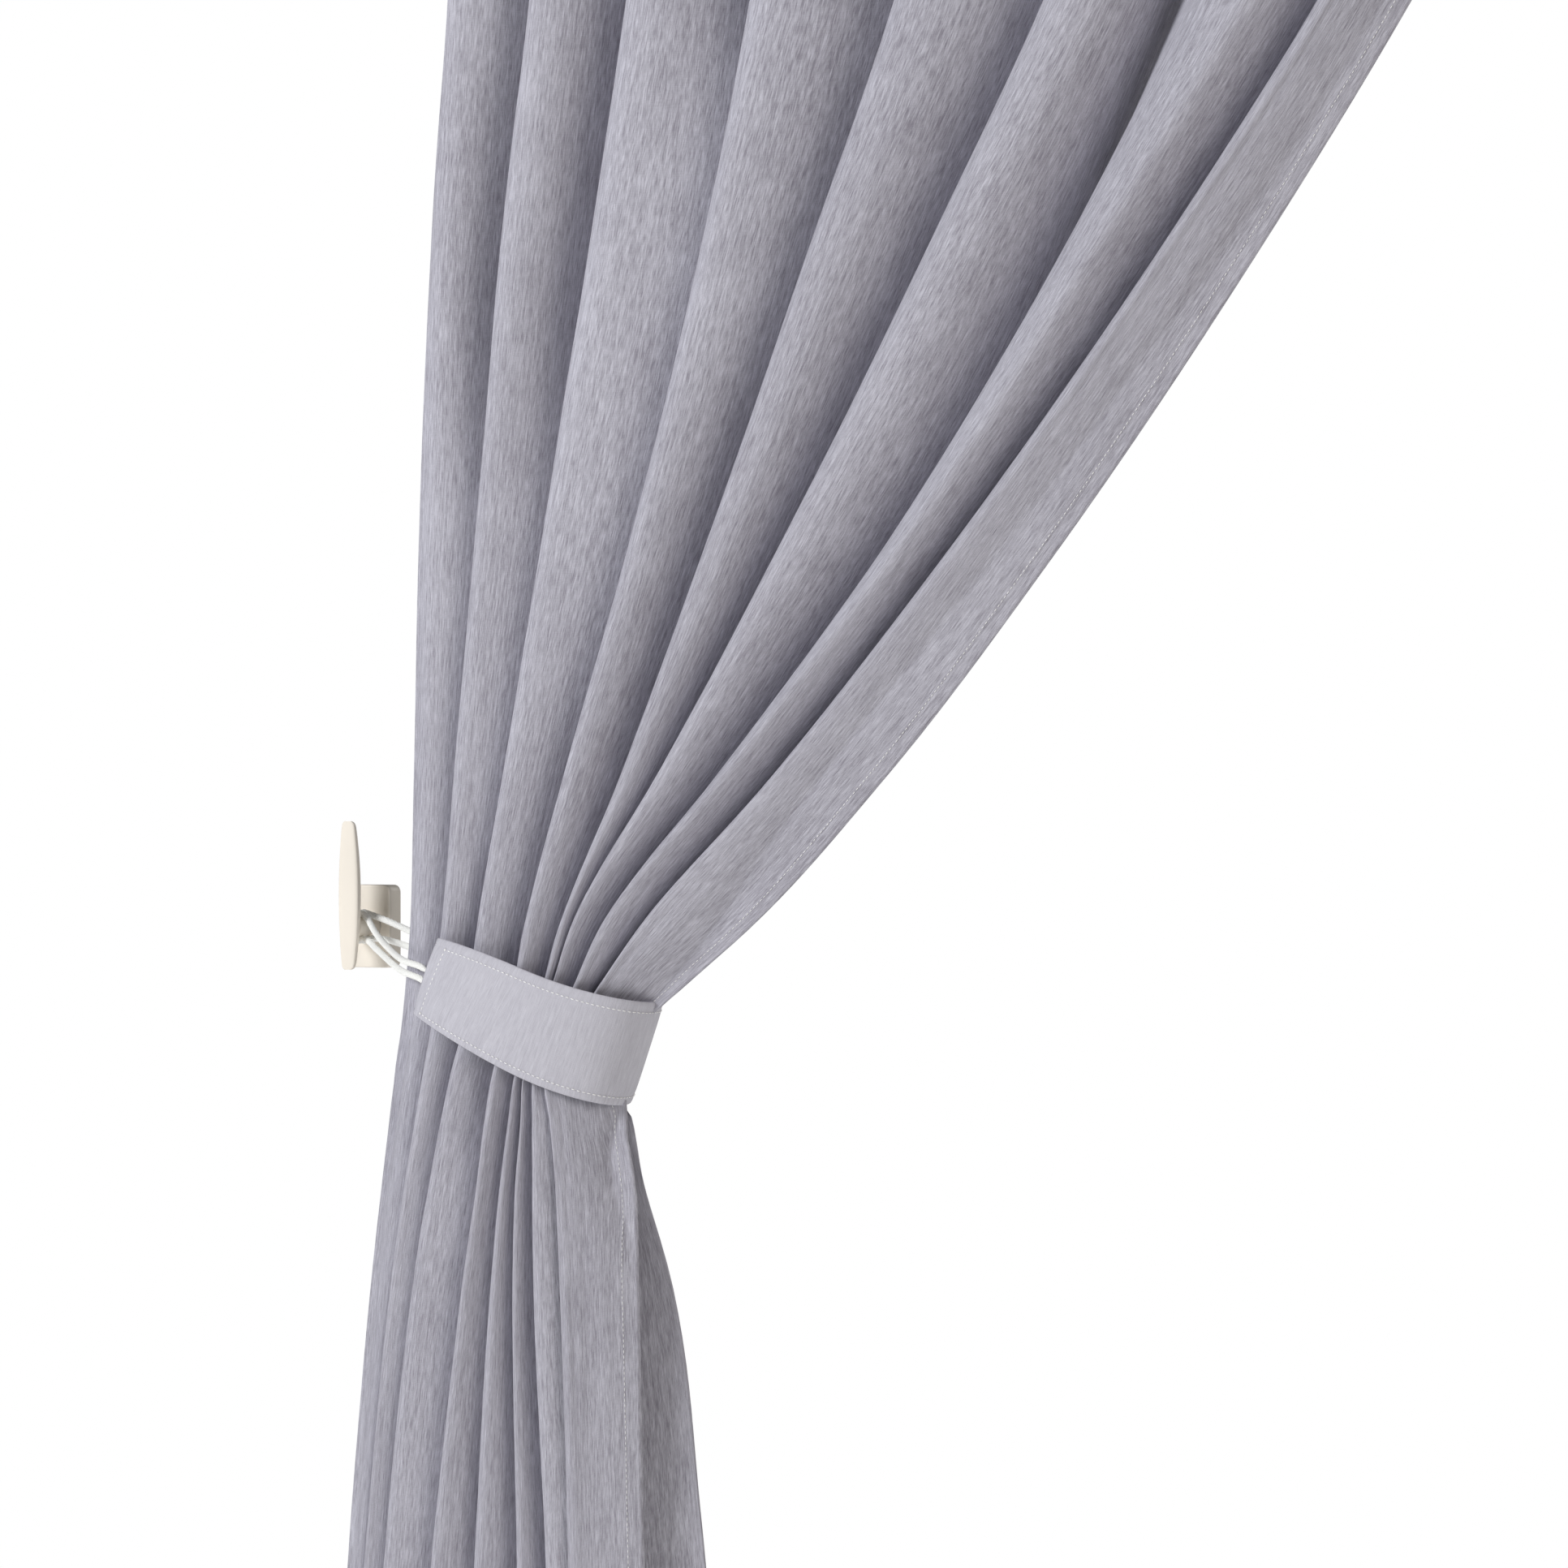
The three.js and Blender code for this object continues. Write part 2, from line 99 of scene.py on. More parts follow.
def new_object(name, vertices, faces, uvs=None, material=None, smooth=True):
    """A mesh object at the origin; uvs holds one (u, v) for each vertex."""
    mesh = bpy.data.meshes.new(name)
    mesh.from_pydata(np.asarray(vertices).tolist(), [], faces)
    if uvs is not None:
        layer = mesh.uv_layers.new(name="UVMap")
        corners = np.zeros(len(mesh.loops), np.int32)
        mesh.loops.foreach_get("vertex_index", corners)
        layer.data.foreach_set("uv", np.asarray(uvs, np.float32)[corners].ravel())
    mesh.polygons.foreach_set("use_smooth", [smooth] * len(mesh.polygons))
    if material:
        mesh.materials.append(material)
    mesh.update()
    made = bpy.data.objects.new(name, mesh)
    bpy.context.scene.collection.objects.link(made)
    return made


def grid_faces(rows, columns, closed=False, start=0):
    """Quads over a grid of points, row by row; closed joins the last column to the first."""
    last = columns if closed else columns - 1
    r, c = np.meshgrid(np.arange(rows - 1), np.arange(last), indexing="ij")
    n = (c + 1) % columns
    quads = [r * columns + c, (r + 1) * columns + c, (r + 1) * columns + n, r * columns + n]
    return (np.stack(quads, -1).reshape(-1, 4) + start).tolist()


def loft(rings, capped=True):
    """Vertices and faces of a closed body through rings of as many points each."""
    rings = np.asarray(rings, float)
    count, sides = rings.shape[:2]
    vertices = rings.reshape(-1, 3)
    faces = grid_faces(count, sides, closed=True)
    if capped:
        ends = [rings[0].mean(0), rings[-1].mean(0)]
        vertices = np.vstack([vertices, ends])
        top, last = count * sides, (count - 1) * sides
        for i in range(sides):
            j = (i + 1) % sides
            faces.append([top, i, j])
            faces.append([top + 1, last + j, last + i])
    return vertices, faces


def face_outwards(made):
    """Merges doubled points and turns every face of a closed body outwards."""
    work = bmesh.new()
    work.from_mesh(made.data)
    bmesh.ops.remove_doubles(work, verts=work.verts, dist=1e-6)
    bmesh.ops.recalc_face_normals(work, faces=work.faces)
    work.to_mesh(made.data)
    work.free()
    return made


def apply_modifiers(made):
    """Turns the evaluated object into a plain mesh and clears its modifiers."""
    graph = bpy.context.evaluated_depsgraph_get()
    mesh = bpy.data.meshes.new_from_object(made.evaluated_get(graph), depsgraph=graph)
    made.modifiers.clear()
    made.data = mesh
    mesh.name = made.name
    return made


def smooth_path(points, count):
    """count points along a centripetal Catmull-Rom curve through the given ones."""
    p = np.asarray(points, float)
    p = np.vstack([2 * p[0] - p[1], p, 2 * p[-1] - p[-2]])
    fine = []
    for i in range(1, len(p) - 2):
        t = [0.0]
        for a, b in zip(p[i - 1 : i + 2], p[i : i + 3]):
            t.append(t[-1] + max(np.linalg.norm(b - a), 1e-9) ** 0.5)
        u = np.linspace(t[1], t[2], 80, endpoint=i == len(p) - 3)[:, None]
        a1 = ((t[1] - u) * p[i - 1] + (u - t[0]) * p[i]) / (t[1] - t[0])
        a2 = ((t[2] - u) * p[i] + (u - t[1]) * p[i + 1]) / (t[2] - t[1])
        a3 = ((t[3] - u) * p[i + 1] + (u - t[2]) * p[i + 2]) / (t[3] - t[2])
        b1 = ((t[2] - u) * a1 + (u - t[0]) * a2) / (t[2] - t[0])
        b2 = ((t[3] - u) * a2 + (u - t[1]) * a3) / (t[3] - t[1])
        fine.append(((t[2] - u) * b1 + (u - t[1]) * b2) / (t[2] - t[1]))
    return evenly(np.vstack(fine), count)


def run_length(path):
    """Distance along a path to each of its points."""
    steps = np.linalg.norm(np.diff(path, axis=0), axis=1)
    return np.concatenate([[0], np.cumsum(steps)])


def full_turn(count):
    """Angles of count points round a circle."""
    return 2 * np.pi * np.arange(count) / count


def evenly(path, count):
    """count evenly spaced points along a path."""
    run = run_length(path)
    at = np.linspace(0, run[-1], count)
    return np.stack([np.interp(at, run, path[:, i]) for i in range(3)], -1)


def frames_along(path):
    """A side and an up direction at each point of a path, turning as little as possible."""
    tangents = np.gradient(path, axis=0)
    tangents /= np.linalg.norm(tangents, axis=1, keepdims=True)
    side = np.cross(tangents[0], [0, 0, 1.0])
    if np.linalg.norm(side) < 0.1:
        side = np.cross(tangents[0], [0, 1.0, 0])
    sides = []
    for tangent in tangents:
        side = side - tangent * (side @ tangent)
        side = side / np.linalg.norm(side)
        sides.append(side)
    sides = np.array(sides)
    return sides, np.cross(tangents, sides)


def swept(path, radii):
    """Rings of points round a path; radii has one row for each point of the path."""
    sides, ups = frames_along(path)
    turn = full_turn(radii.shape[1])
    across = sides[:, None] * np.cos(turn)[None, :, None]
    across = across + ups[:, None] * np.sin(turn)[None, :, None]
    return path[:, None] + across * radii[..., None]


def smoothstep(t, low=0.0, high=1.0):
    t = np.clip((np.asarray(t, float) - low) / (high - low), 0, 1)
    return t * t * (3 - 2 * t)


# ---- Shader helpers -----------------------------------------------------------------------


class Value:
    """A node's output that takes Python arithmetic, each operation making a Math node."""

    def __init__(self, shader, socket):
        self.shader, self.socket = shader, socket

    def _math(self, operation, *values):
        inputs = dict(enumerate(values))
        return self.shader.node("ShaderNodeMath", {"operation": operation}, inputs)

    def __add__(self, other):
        return self._math("ADD", self, other)

    def __radd__(self, other):
        return self._math("ADD", other, self)

    def __sub__(self, other):
        return self._math("SUBTRACT", self, other)

    def __rsub__(self, other):
        return self._math("SUBTRACT", other, self)

    def __mul__(self, other):
        return self._math("MULTIPLY", self, other)

    def __rmul__(self, other):
        return self._math("MULTIPLY", other, self)

    def between(self, low, high):
        """0 at low and 1 at high, smooth between them."""
        inputs = {"Value": self, "From Min": low, "From Max": high}
        settings = {"interpolation_type": "SMOOTHSTEP"}
        return self.shader.node("ShaderNodeMapRange", settings, inputs)


class Shader:
    """One material and its nodes."""

    def __init__(self, name):
        self.material = bpy.data.materials.new(name)
        self.material.use_nodes = True
        self.tree = self.material.node_tree
        self.surface = self.tree.nodes["Principled BSDF"]

    def put(self, target, value):
        if isinstance(value, Value):
            self.tree.links.new(value.socket, target)
        else:
            target.default_value = value

    def node(self, kind, settings=None, inputs=None, output=0):
        made = self.tree.nodes.new(kind)
        for key, value in (settings or {}).items():
            setattr(made, key, value)
        for key, value in (inputs or {}).items():
            self.put(made.inputs[key], value)
        return Value(self, made.outputs[output])

    def set(self, **values):
        for key, value in values.items():
            self.put(self.surface.inputs[key.replace("_", " ")], value)

    def scaled(self, place, scale):
        return self.node("ShaderNodeVectorMath", {"operation": "MULTIPLY"}, {0: place, 1: scale})

    def noise(self, place, scale=1.0, detail=2.0, roughness=0.5):
        inputs = {"Vector": place, "Scale": scale, "Detail": detail, "Roughness": roughness}
        return self.node("ShaderNodeTexNoise", None, inputs)

    def mix(self, share, first, second):
        return self.node("ShaderNodeMix", {"data_type": "RGBA"}, {0: share, 6: first, 7: second}, 2)

    def bump(self, height, distance, strength=1.0):
        inputs = {"Height": height, "Distance": distance, "Strength": strength}
        return self.node("ShaderNodeBump", None, inputs)

    def flat_cloth(self):
        return self.node("ShaderNodeUVMap", {"uv_map": "UVMap"})

    def place(self):
        return self.node("ShaderNodeTexCoord", output=3)


def rgb(red, green, blue):
    """A display colour from 0 to 255 as linear light."""
    return (*[((c / 255 + 0.055) / 1.055) ** 2.4 for c in (red, green, blue)], 1.0)


def darker(colour, share):
    return (*[c * share for c in colour[:3]], 1.0)


# ---- Materials ----------------------------------------------------------------------------

YARN = 0.55 * MM  # across one yarn
SLUB = 9.0 * MM  # along one slub
STREAK = 3.2 * YARN, 3.5 * SLUB
WEFT = (250, 1500, 1)  # noise cells in each metre across and down the cloth
CLOUDS = (14, 5, 1)


def slub_cloth(name, dark, light, contrast):
    """Plain weave with slubs: uneven yarns run down the cloth. UVs are metres of flat cloth."""
    s = Shader(name)
    flat = s.flat_cloth()
    yarns = s.noise(s.scaled(flat, (1 / YARN, 1 / SLUB, 1)), 1.0, 2.0, 0.6)
    streaks = s.noise(s.scaled(flat, (1 / STREAK[0], 1 / STREAK[1], 1)), 1.0, 3.0, 0.6)
    cross = s.noise(s.scaled(flat, WEFT), 1.0, 1.0, 0.5)
    clouds = s.noise(s.scaled(flat, CLOUDS), 1.0, 2.0, 0.5)
    tone = yarns * 0.5 + streaks * 0.42 + cross * 0.08 + (clouds - 0.5) * 0.12
    share = s.node("ShaderNodeClamp", None, {"Value": (tone - 0.5) * (3.2 * contrast) + 0.5})
    height = yarns * 0.6 + streaks * 0.5 + cross * 0.3
    s.set(Base_Color=s.mix(share, dark, light), Roughness=0.92, Sheen_Weight=0.15,
          Sheen_Roughness=0.5, Specular_IOR_Level=0.2, Normal=s.bump(height, 0.5 * MM, 0.6))
    return s.material


def spun_yarn(name, colour):
    s = Shader(name)
    grain = s.noise(s.place(), 1500.0, 2.0)
    tone = s.mix(grain.between(0.3, 0.7), darker(colour, 0.88), colour)
    s.set(Base_Color=tone, Roughness=0.85, Sheen_Weight=0.2,
          Normal=s.bump(grain, 0.2 * MM, 0.6))
    return s.material


def moulded(name, colour, roughness):
    """Smooth plastic or lacquer, a little uneven in its sheen."""
    s = Shader(name)
    place = s.place()
    broad = s.noise(place, 22.0, 3.0)
    fine = s.noise(place, 900.0, 2.0)
    tone = s.mix(broad.between(0.2, 0.8), darker(colour, 0.96), colour)
    s.set(Base_Color=tone, Roughness=(broad - 0.5) * 0.12 + roughness, Specular_IOR_Level=0.4,
          Normal=s.bump(fine, 0.05 * MM, 0.25))
    return s.material


def plated(name, colour, roughness):
    s = Shader(name)
    grain = s.noise(s.scaled(s.place(), (900, 900, 120)), 1.0, 3.0)
    tone = s.mix(grain.between(0.3, 0.7), darker(colour, 0.85), colour)
    s.set(Base_Color=tone, Metallic=1.0, Roughness=(grain - 0.5) * 0.2 + roughness,
          Normal=s.bump(grain, 0.03 * MM, 0.4))
    return s.material


CLOTH = slub_cloth("curtain cloth", rgb(142, 139, 149), rgb(198, 197, 207), 1.25)
BAND_CLOTH = slub_cloth("band cloth", rgb(171, 169, 178), rgb(206, 205, 213), 0.7)
THREAD = spun_yarn("sewing thread", rgb(252, 252, 250))
CORD = spun_yarn("cord yarn", rgb(254, 254, 250))
TAPE_CLOTH = spun_yarn("heading tape", rgb(228, 228, 230))
IVORY = moulded("cream moulding", rgb(243, 235, 222), 0.42)
LACQUER = moulded("cream lacquer", rgb(240, 232, 219), 0.3)
ZINC = plated("zinc plate", (0.62, 0.62, 0.64, 1.0), 0.32)


# ---- Geometry Nodes -----------------------------------------------------------------------


class Tree:
    """A Geometry Nodes tree with named inputs; it ends in Realize Instances and Set Material."""

    def __init__(self, name, **inputs):
        self.tree = bpy.data.node_groups.new(name, "GeometryNodeTree")
        face = self.tree.interface
        face.new_socket("Geometry", in_out="INPUT", socket_type="NodeSocketGeometry")
        for key, kind in {**inputs, "Material": "Material"}.items():
            face.new_socket(key, in_out="INPUT", socket_type=f"NodeSocket{kind}")
        face.new_socket("Geometry", in_out="OUTPUT", socket_type="NodeSocketGeometry")
        self.inputs = self.tree.nodes.new("NodeGroupInput").outputs

    def node(self, kind, settings=None, inputs=None, output=0):
        made = self.tree.nodes.new(kind)
        for key, value in (settings or {}).items():
            setattr(made, key, value)
        for key, value in (inputs or {}).items():
            if isinstance(value, bpy.types.NodeSocket):
                self.tree.links.new(value, made.inputs[key])
            else:
                made.inputs[key].default_value = value
        return made.outputs[output]

    def end(self, geometry):
        real = self.node("GeometryNodeRealizeInstances", None, {"Geometry": geometry})
        smooth = self.node("GeometryNodeSetShadeSmooth", None, {"Geometry": real})
        painted = {"Geometry": smooth, "Material": self.inputs["Material"]}
        made = self.node("GeometryNodeSetMaterial", None, painted)
        out = self.tree.nodes.new("NodeGroupOutput")
        self.tree.links.new(made, out.inputs["Geometry"])
        return self

    def grow(self, name, source, **values):
        """A plain mesh piece from the tree; source is a mesh or None."""
        made = bpy.data.objects.new(name, source or bpy.data.meshes.new(name))
        bpy.context.scene.collection.objects.link(made)
        modifier = made.modifiers.new("nodes", "NODES")
        modifier.node_group = self.tree
        for item in self.tree.interface.items_tree:
            if item.in_out == "INPUT" and item.name in values:
                modifier[item.identifier] = values[item.name]
        bpy.context.view_layer.update()
        return apply_modifiers(made)


def stitch_tree():
    t = Tree("stitch row", Pitch="Float", Length="Float", Thread="Float")
    path = t.node("GeometryNodeMeshToCurve", None, {"Mesh": t.inputs["Geometry"]})
    inputs = {"Curve": path, "Length": t.inputs["Pitch"]}
    spaced = t.node("GeometryNodeResampleCurve", {"mode": "LENGTH"}, inputs)
    half = t.node("ShaderNodeMath", {"operation": "MULTIPLY"}, {0: t.inputs["Length"], 1: 0.5})
    thread = t.inputs["Thread"]
    size = t.node("ShaderNodeCombineXYZ", None, {"X": half, "Y": thread, "Z": thread})
    ball = t.node("GeometryNodeMeshUVSphere", None, {"Segments": 6, "Rings": 5, "Radius": 1.0})
    stitch = t.node("GeometryNodeTransform", None, {"Geometry": ball, "Scale": size})
    tangent = t.node("GeometryNodeInputTangent")
    turn = t.node("FunctionNodeAlignRotationToVector", {"axis": "X"}, {"Vector": tangent})
    inputs = {"Points": spaced, "Instance": stitch, "Rotation": turn}
    return t.end(t.node("GeometryNodeInstanceOnPoints", None, inputs))


def ring_tree():
    t = Tree("wire ring", Middle_radius="Float", Wire_radius="Float", Place="Vector", Turn="Vector")
    inputs = {"Resolution": 72, "Radius": t.inputs["Middle_radius"]}
    circle = t.node("GeometryNodeCurvePrimitiveCircle", None, inputs)
    inputs = {"Resolution": 16, "Radius": t.inputs["Wire_radius"]}
    wire = t.node("GeometryNodeCurvePrimitiveCircle", None, inputs)
    ring = t.node("GeometryNodeCurveToMesh", None, {"Curve": circle, "Profile Curve": wire})
    turn = t.node("FunctionNodeEulerToRotation", None, {"Euler": t.inputs["Turn"]})
    inputs = {"Geometry": ring, "Translation": t.inputs["Place"], "Rotation": turn}
    return t.end(t.node("GeometryNodeTransform", None, inputs))


STITCHES = stitch_tree()
WIRE_RING = ring_tree()
STITCH = {"Pitch": 3.6 * MM, "Length": 2.7 * MM, "Thread": 0.34 * MM}


def stitch_rows(name, paths, **changed):
    """One piece with a row of stitches along each path."""
    vertices, edges = [], []
    for path in paths:
        first = len(vertices)
        vertices.extend(np.asarray(path).tolist())
        edges.extend((i, i + 1) for i in range(first, len(vertices) - 1))
    mesh = bpy.data.meshes.new(name)
    mesh.from_pydata(vertices, edges, [])
    return STITCHES.grow(name, mesh, Material=THREAD, **{**STITCH, **changed})


# ---- Finished pieces ----------------------------------------------------------------------


def settle(piece, body, slot, *nodes):
    """Rides a finished piece on its body, in place of its CAD nodes."""
    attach(piece, body)
    if nodes:
        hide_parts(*nodes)
    return piece


def eased(piece, width, angle=35, segments=3):
    """Merges the piece's points and eases its sharp edges by a small width."""
    work = bmesh.new()
    work.from_mesh(piece.data)
    bmesh.ops.remove_doubles(work, verts=work.verts, dist=2e-6)
    level = math.radians(0.5)
    bmesh.ops.dissolve_limit(work, angle_limit=level, verts=work.verts, edges=work.edges)
    bmesh.ops.recalc_face_normals(work, faces=work.faces)
    work.to_mesh(piece.data)
    work.free()
    bevel = piece.modifiers.new("eased edges", "BEVEL")
    bevel.width, bevel.segments = width, segments
    bevel.limit_method, bevel.angle_limit = "ANGLE", math.radians(angle)
    bevel.use_clamp_overlap = True
    piece.modifiers.new("faces", "TRIANGULATE")
    apply_modifiers(piece)
    piece.data.polygons.foreach_set("use_smooth", [True] * len(piece.data.polygons))
    piece.data.set_sharp_from_angle(angle=math.radians(40))
    return piece


def from_frame(name, node, material):
    """A piece of its own with a CAD node's shape."""
    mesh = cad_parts[node].data.copy()
    mesh.materials.clear()
    mesh.materials.append(material)
    made = bpy.data.objects.new(name, mesh)
    bpy.context.scene.collection.objects.link(made)
    return made


def turned(name, profile, origin, toward, material, sides=72, closed=False):
    """A profile of (radius, distance) turned about an axis through origin."""
    axis = Vector(toward).normalized()
    side = axis.orthogonal().normalized()
    up = axis.cross(side)
    turn = full_turn(sides)
    around = np.cos(turn)[:, None] * np.array(side) + np.sin(turn)[:, None] * np.array(up)
    profile = [*profile, profile[0]] if closed else profile
    rings = [np.array(origin) + np.array(axis) * d + around * r for r, d in profile]
    vertices, faces = loft(rings, capped=not closed)
    return face_outwards(new_object(name, vertices, faces, material=material))


# ---- Cords --------------------------------------------------------------------------------

CORD_R = 2.0 * MM
CORD_SLACK = 0.8 * MM
STEM_R = 7.0 * MM
BRAID = {"strands": 8, "pitch": 9.0 * MM, "swell": 0.1 * MM, "relief": 0.55 * MM, "level": 0.55}
SEWN_IN = 8 * MM, 17 * MM  # the cords' ends are pressed flat between the band's layers
FLATTENED = 0.45  # share of the radius left there


def cord_route(stem_y, to_stem, from_stem):
    over = STEM_R + CORD_R + CORD_SLACK
    turn = np.radians(np.arange(60, 301, 30))  # from above the stem, round it, to below
    around = [(HOOK.x + over * math.cos(a), stem_y, HOOK.z + over * math.sin(a)) for a in turn]
    scaled = [[tuple(c * MM for c in p) for p in leg] for leg in (to_stem, from_stem)]
    return smooth_path([*scaled[0], *around, *scaled[1]], 440)


def braided(name, route):
    """A round braid: two sets of strands wind opposite ways and cross over each other."""
    turn = full_turn(32)
    run = run_length(route)
    wound = run[:, None] * 2 * np.pi / BRAID["pitch"]
    half = BRAID["strands"] / 2
    rising, falling = half * turn[None] + wound, half * turn[None] - wound
    on_top = 0.5 + 0.5 * np.tanh(3 * np.sin(rising) * np.sin(falling))
    ridges = on_top * np.abs(np.cos(rising)) + (1 - on_top) * np.abs(np.cos(falling))
    from_end = np.minimum(run, run[-1] - run)[:, None]
    pressed = FLATTENED + (1 - FLATTENED) * smoothstep(from_end, *SEWN_IN)
    radii = (CORD_R + BRAID["swell"] + BRAID["relief"] * (ridges - BRAID["level"])) * pressed
    vertices, faces = loft(swept(route, radii))
    return face_outwards(new_object(name, vertices, faces, material=CORD))


CORD_ROUTES = {
    "cord_loop_front": (
        -29,
        [(-54, -111.4, -1218), (-62.6, -109, -1215), (-70.45, -105.2, -1212), (-92, -92.5, -1208.5),
         (-118, -68, -1202), (-146, -41, -1192)],
        [(-142, -46, -1203), (-117, -70, -1210), (-92, -93, -1216), (-71.45, -105, -1220),
         (-63, -108.8, -1223), (-54.5, -111.2, -1226)],
    ),
    "cord_loop_back": (
        -21,
        [(-58.7, -41.3, -1205), (-68.45, -45, -1201), (-114, -37, -1192), (-148, -25, -1183)],
        [(-148, -25, -1196.5), (-114, -38, -1202.5), (-69.05, -44.9, -1209), (-59.3, -41.2, -1213)],
    ),
}

for name, (stem_y, to_stem, from_stem) in CORD_ROUTES.items():
    route = cord_route(stem_y * MM, to_stem, from_stem)
    piece = braided(f"braided_{name}", route)
    settle(piece, "fixed_parts", "cord", name)


# ---- Curtain ------------------------------------------------------------------------------

HEADER = 75 * MM
HEAD_MARGIN = 9 * MM
CLOTH_BACK = -86.8 * MM  # of the gathered head
PLEAT_DEPTH = 30 * MM
FOLD_DEPTH = 66 * MM
HEM_DEPTH = 68 * MM
BUNDLE = {"x": -8 * MM, "y": -75 * MM, "half_width": 84 * MM, "half_depth": 39 * MM}
HEM_SPREAD = {"left": 73 * MM, "right": 47 * MM}
WAIST = {"pull": 20 * MM, "under": 85 * MM, "reach": 55 * MM}
HEM_RISE = 240 * MM
SWEEP = {"left": 1.3, "right": 1.5, "depth": 3}  # how late each draws in towards the tie
SQUARENESS = {"head": 8, "tie": 2, "hem": 5}  # of the outline in plan; 2 is an ellipse

FOLDS = 7
FOLD_CLOTH = 0.176
RETURN_CLOTH = 0.050  # turned back at the side that hangs straight
LEADING_CLOTH = 0.088  # from the last crest to the leading edge
FINE_PLEATS = 5  # in the head of each fold
COLUMNS = {"return": 9, "fold": 33, "leading": 30}

# Left side of each fold, then the leading edge, then the right side of the last fold's back
# where it shows, in millimetres. Heights are under the rod, as seen at the aim's distance, and
# the last one is the hem's own.
FOLD_SIDES = {
    -559: (-43, 21, 96, 189, 295, 408, 526, 592, 639, 639),
    -722: (-56, -1, 67, 152, 234, 322, 424, 487, 539, 539),
    -942: (-68, -25, 25, 91, 148, 201, 275, 324, 384, 384),
    -1085: (-73, -42, -3, 44, 87, 115, 160, 200, 266, 266),
    -1190: (-78, -52, -25, 12, 38, 46, 68, 97, 160, 160),
    -1225: (-82, -57, -31, 5, 27, 33, 50, 70, 115, 115),
    -1250: (-85, -61, -36, -1, 18, 23, 37, 52, 84, 84),
    -1283: (-91, -68, -46, -12, 5, 11, 19, 29, 68, 68),
    -1318: (-95, -75, -55, -19, -1, 8, 18, 32, 81, 74),
    -1355: (-100, -82, -63, -25, -6, 5, 18, 35, 89, 80),
    -1439: (-111, -96, -78, -39, -15, 2, 19, 39, 93, 103),
    -1623: (-129, -116, -100, -62, -28, 5, 27, 44, 97, 126),
    -2290: (-160, -142, -118, -84, -48, -10, 28, 54, 112, 140),
}
OPEN_FOLDS = {4: 0.10, 5: 0.42}  # less lean near the head, so that their far flank shows
# How far under the rod each fold starts to lap over the next, then how much it laps above
# the tie and below it.
LAPPING = [(0.74, 0.62, 0.95), (0.74, 0.62, 0.85), (0.5, 0.5, 0.72), (0.98, 0.45, 0.6),
           (0.98, 0.45, 0.5), (1.0, 0.45, 0.4), (0.98, 0.45, 0.0)]


def section(z):
    """The CAD outline at heights z: middle, half width, middle in depth, half depth, squareness,
    then how far the cloth is free of its head and how far it is on its way from tie to hem."""
    down = np.clip((TOP_Z - z) / (TOP_Z - TIE_Z), 0, 1)
    under = np.clip((TIE_Z - z) / (TIE_Z - HEM_Z), 0, 1)
    spread = 1 - (1 - under) ** 2
    head_left, head_right = ring_x[0] - HEAD_MARGIN, ring_x[-1] + HEAD_MARGIN
    tie_left, tie_right = BUNDLE["x"] - BUNDLE["half_width"], BUNDLE["x"] + BUNDLE["half_width"]
    left = head_left + (tie_left - head_left) * down ** SWEEP["left"]
    left = left - HEM_SPREAD["left"] * spread
    waist = WAIST["pull"] * np.exp(-(((z - TIE_Z + WAIST["under"]) / WAIST["reach"]) ** 2))
    right = head_right + (tie_right - head_right) * down ** SWEEP["right"]
    right = right + HEM_SPREAD["right"] * spread - waist
    freed = smoothstep(TOP_Z - z, HEADER, 3 * HEADER)
    hang = (CLOTH_BACK - PLEAT_DEPTH / 2) * (1 - freed) + ROD.y * freed
    fold = (PLEAT_DEPTH + (FOLD_DEPTH - PLEAT_DEPTH) * freed) / 2
    deep = fold + (BUNDLE["half_depth"] - fold) * down ** SWEEP["depth"]
    deep = deep + (HEM_DEPTH / 2 - deep) * under
    loose = SQUARENESS["head"] + (SQUARENESS["tie"] - SQUARENESS["head"]) * down**2
    squareness = loose + (SQUARENESS["hem"] - loose) * np.sqrt(under)
    y = hang + (BUNDLE["y"] - hang) * down ** SWEEP["depth"]
    return (left + right) / 2, (right - left) / 2, y, deep, squareness, freed, under


FRONT_Y = -0.105  # where the folds' fronts hang, on the whole


def seen_away(x, y):
    """How far points in plan are in front of the camera."""
    x, y = x - camera.location.x, y - camera.location.y
    return -x * math.sin(VIEW_FROM) + y * math.cos(VIEW_FROM)


def seen_across(x, y):
    """Where points in plan stand across the view, in metres at the distance of its aim."""
    along, back = x - camera.location.x, y - camera.location.y
    across = along * math.cos(VIEW_FROM) + back * math.sin(VIEW_FROM)
    return across / seen_away(x, y) * DISTANCE


def smooth_table(table, at):
    """Rows of a table of heights read between its rows without corners."""
    heights = np.array(sorted(table))
    values = np.array([table[h] for h in heights], float)
    slopes = np.gradient(values, heights, axis=0)
    i = np.clip(np.searchsorted(heights, at) - 1, 0, len(heights) - 2)
    step = (heights[i + 1] - heights[i])[:, None]
    t = (at - heights[i])[:, None] / step
    rise = slopes[i] * step, slopes[i + 1] * step
    near = values[i] * (2 * t**3 - 3 * t**2 + 1) + rise[0] * (t**3 - 2 * t**2 + t)
    return near + values[i + 1] * (3 * t**2 - 2 * t**3) + rise[1] * (t**3 - t**2)


def heights():
    """Heights of the cloth's rows, closest round the tie."""
    z = [TOP_Z]
    stops = [(TOP_Z - HEADER, 7), (-0.30, 13), (-1.13, 46), (-1.40, 34), (HEM_Z, 50)]
    for end, steps in stops:
        z.extend(np.linspace(z[-1], end, steps + 1)[1:])
    return np.array(z)


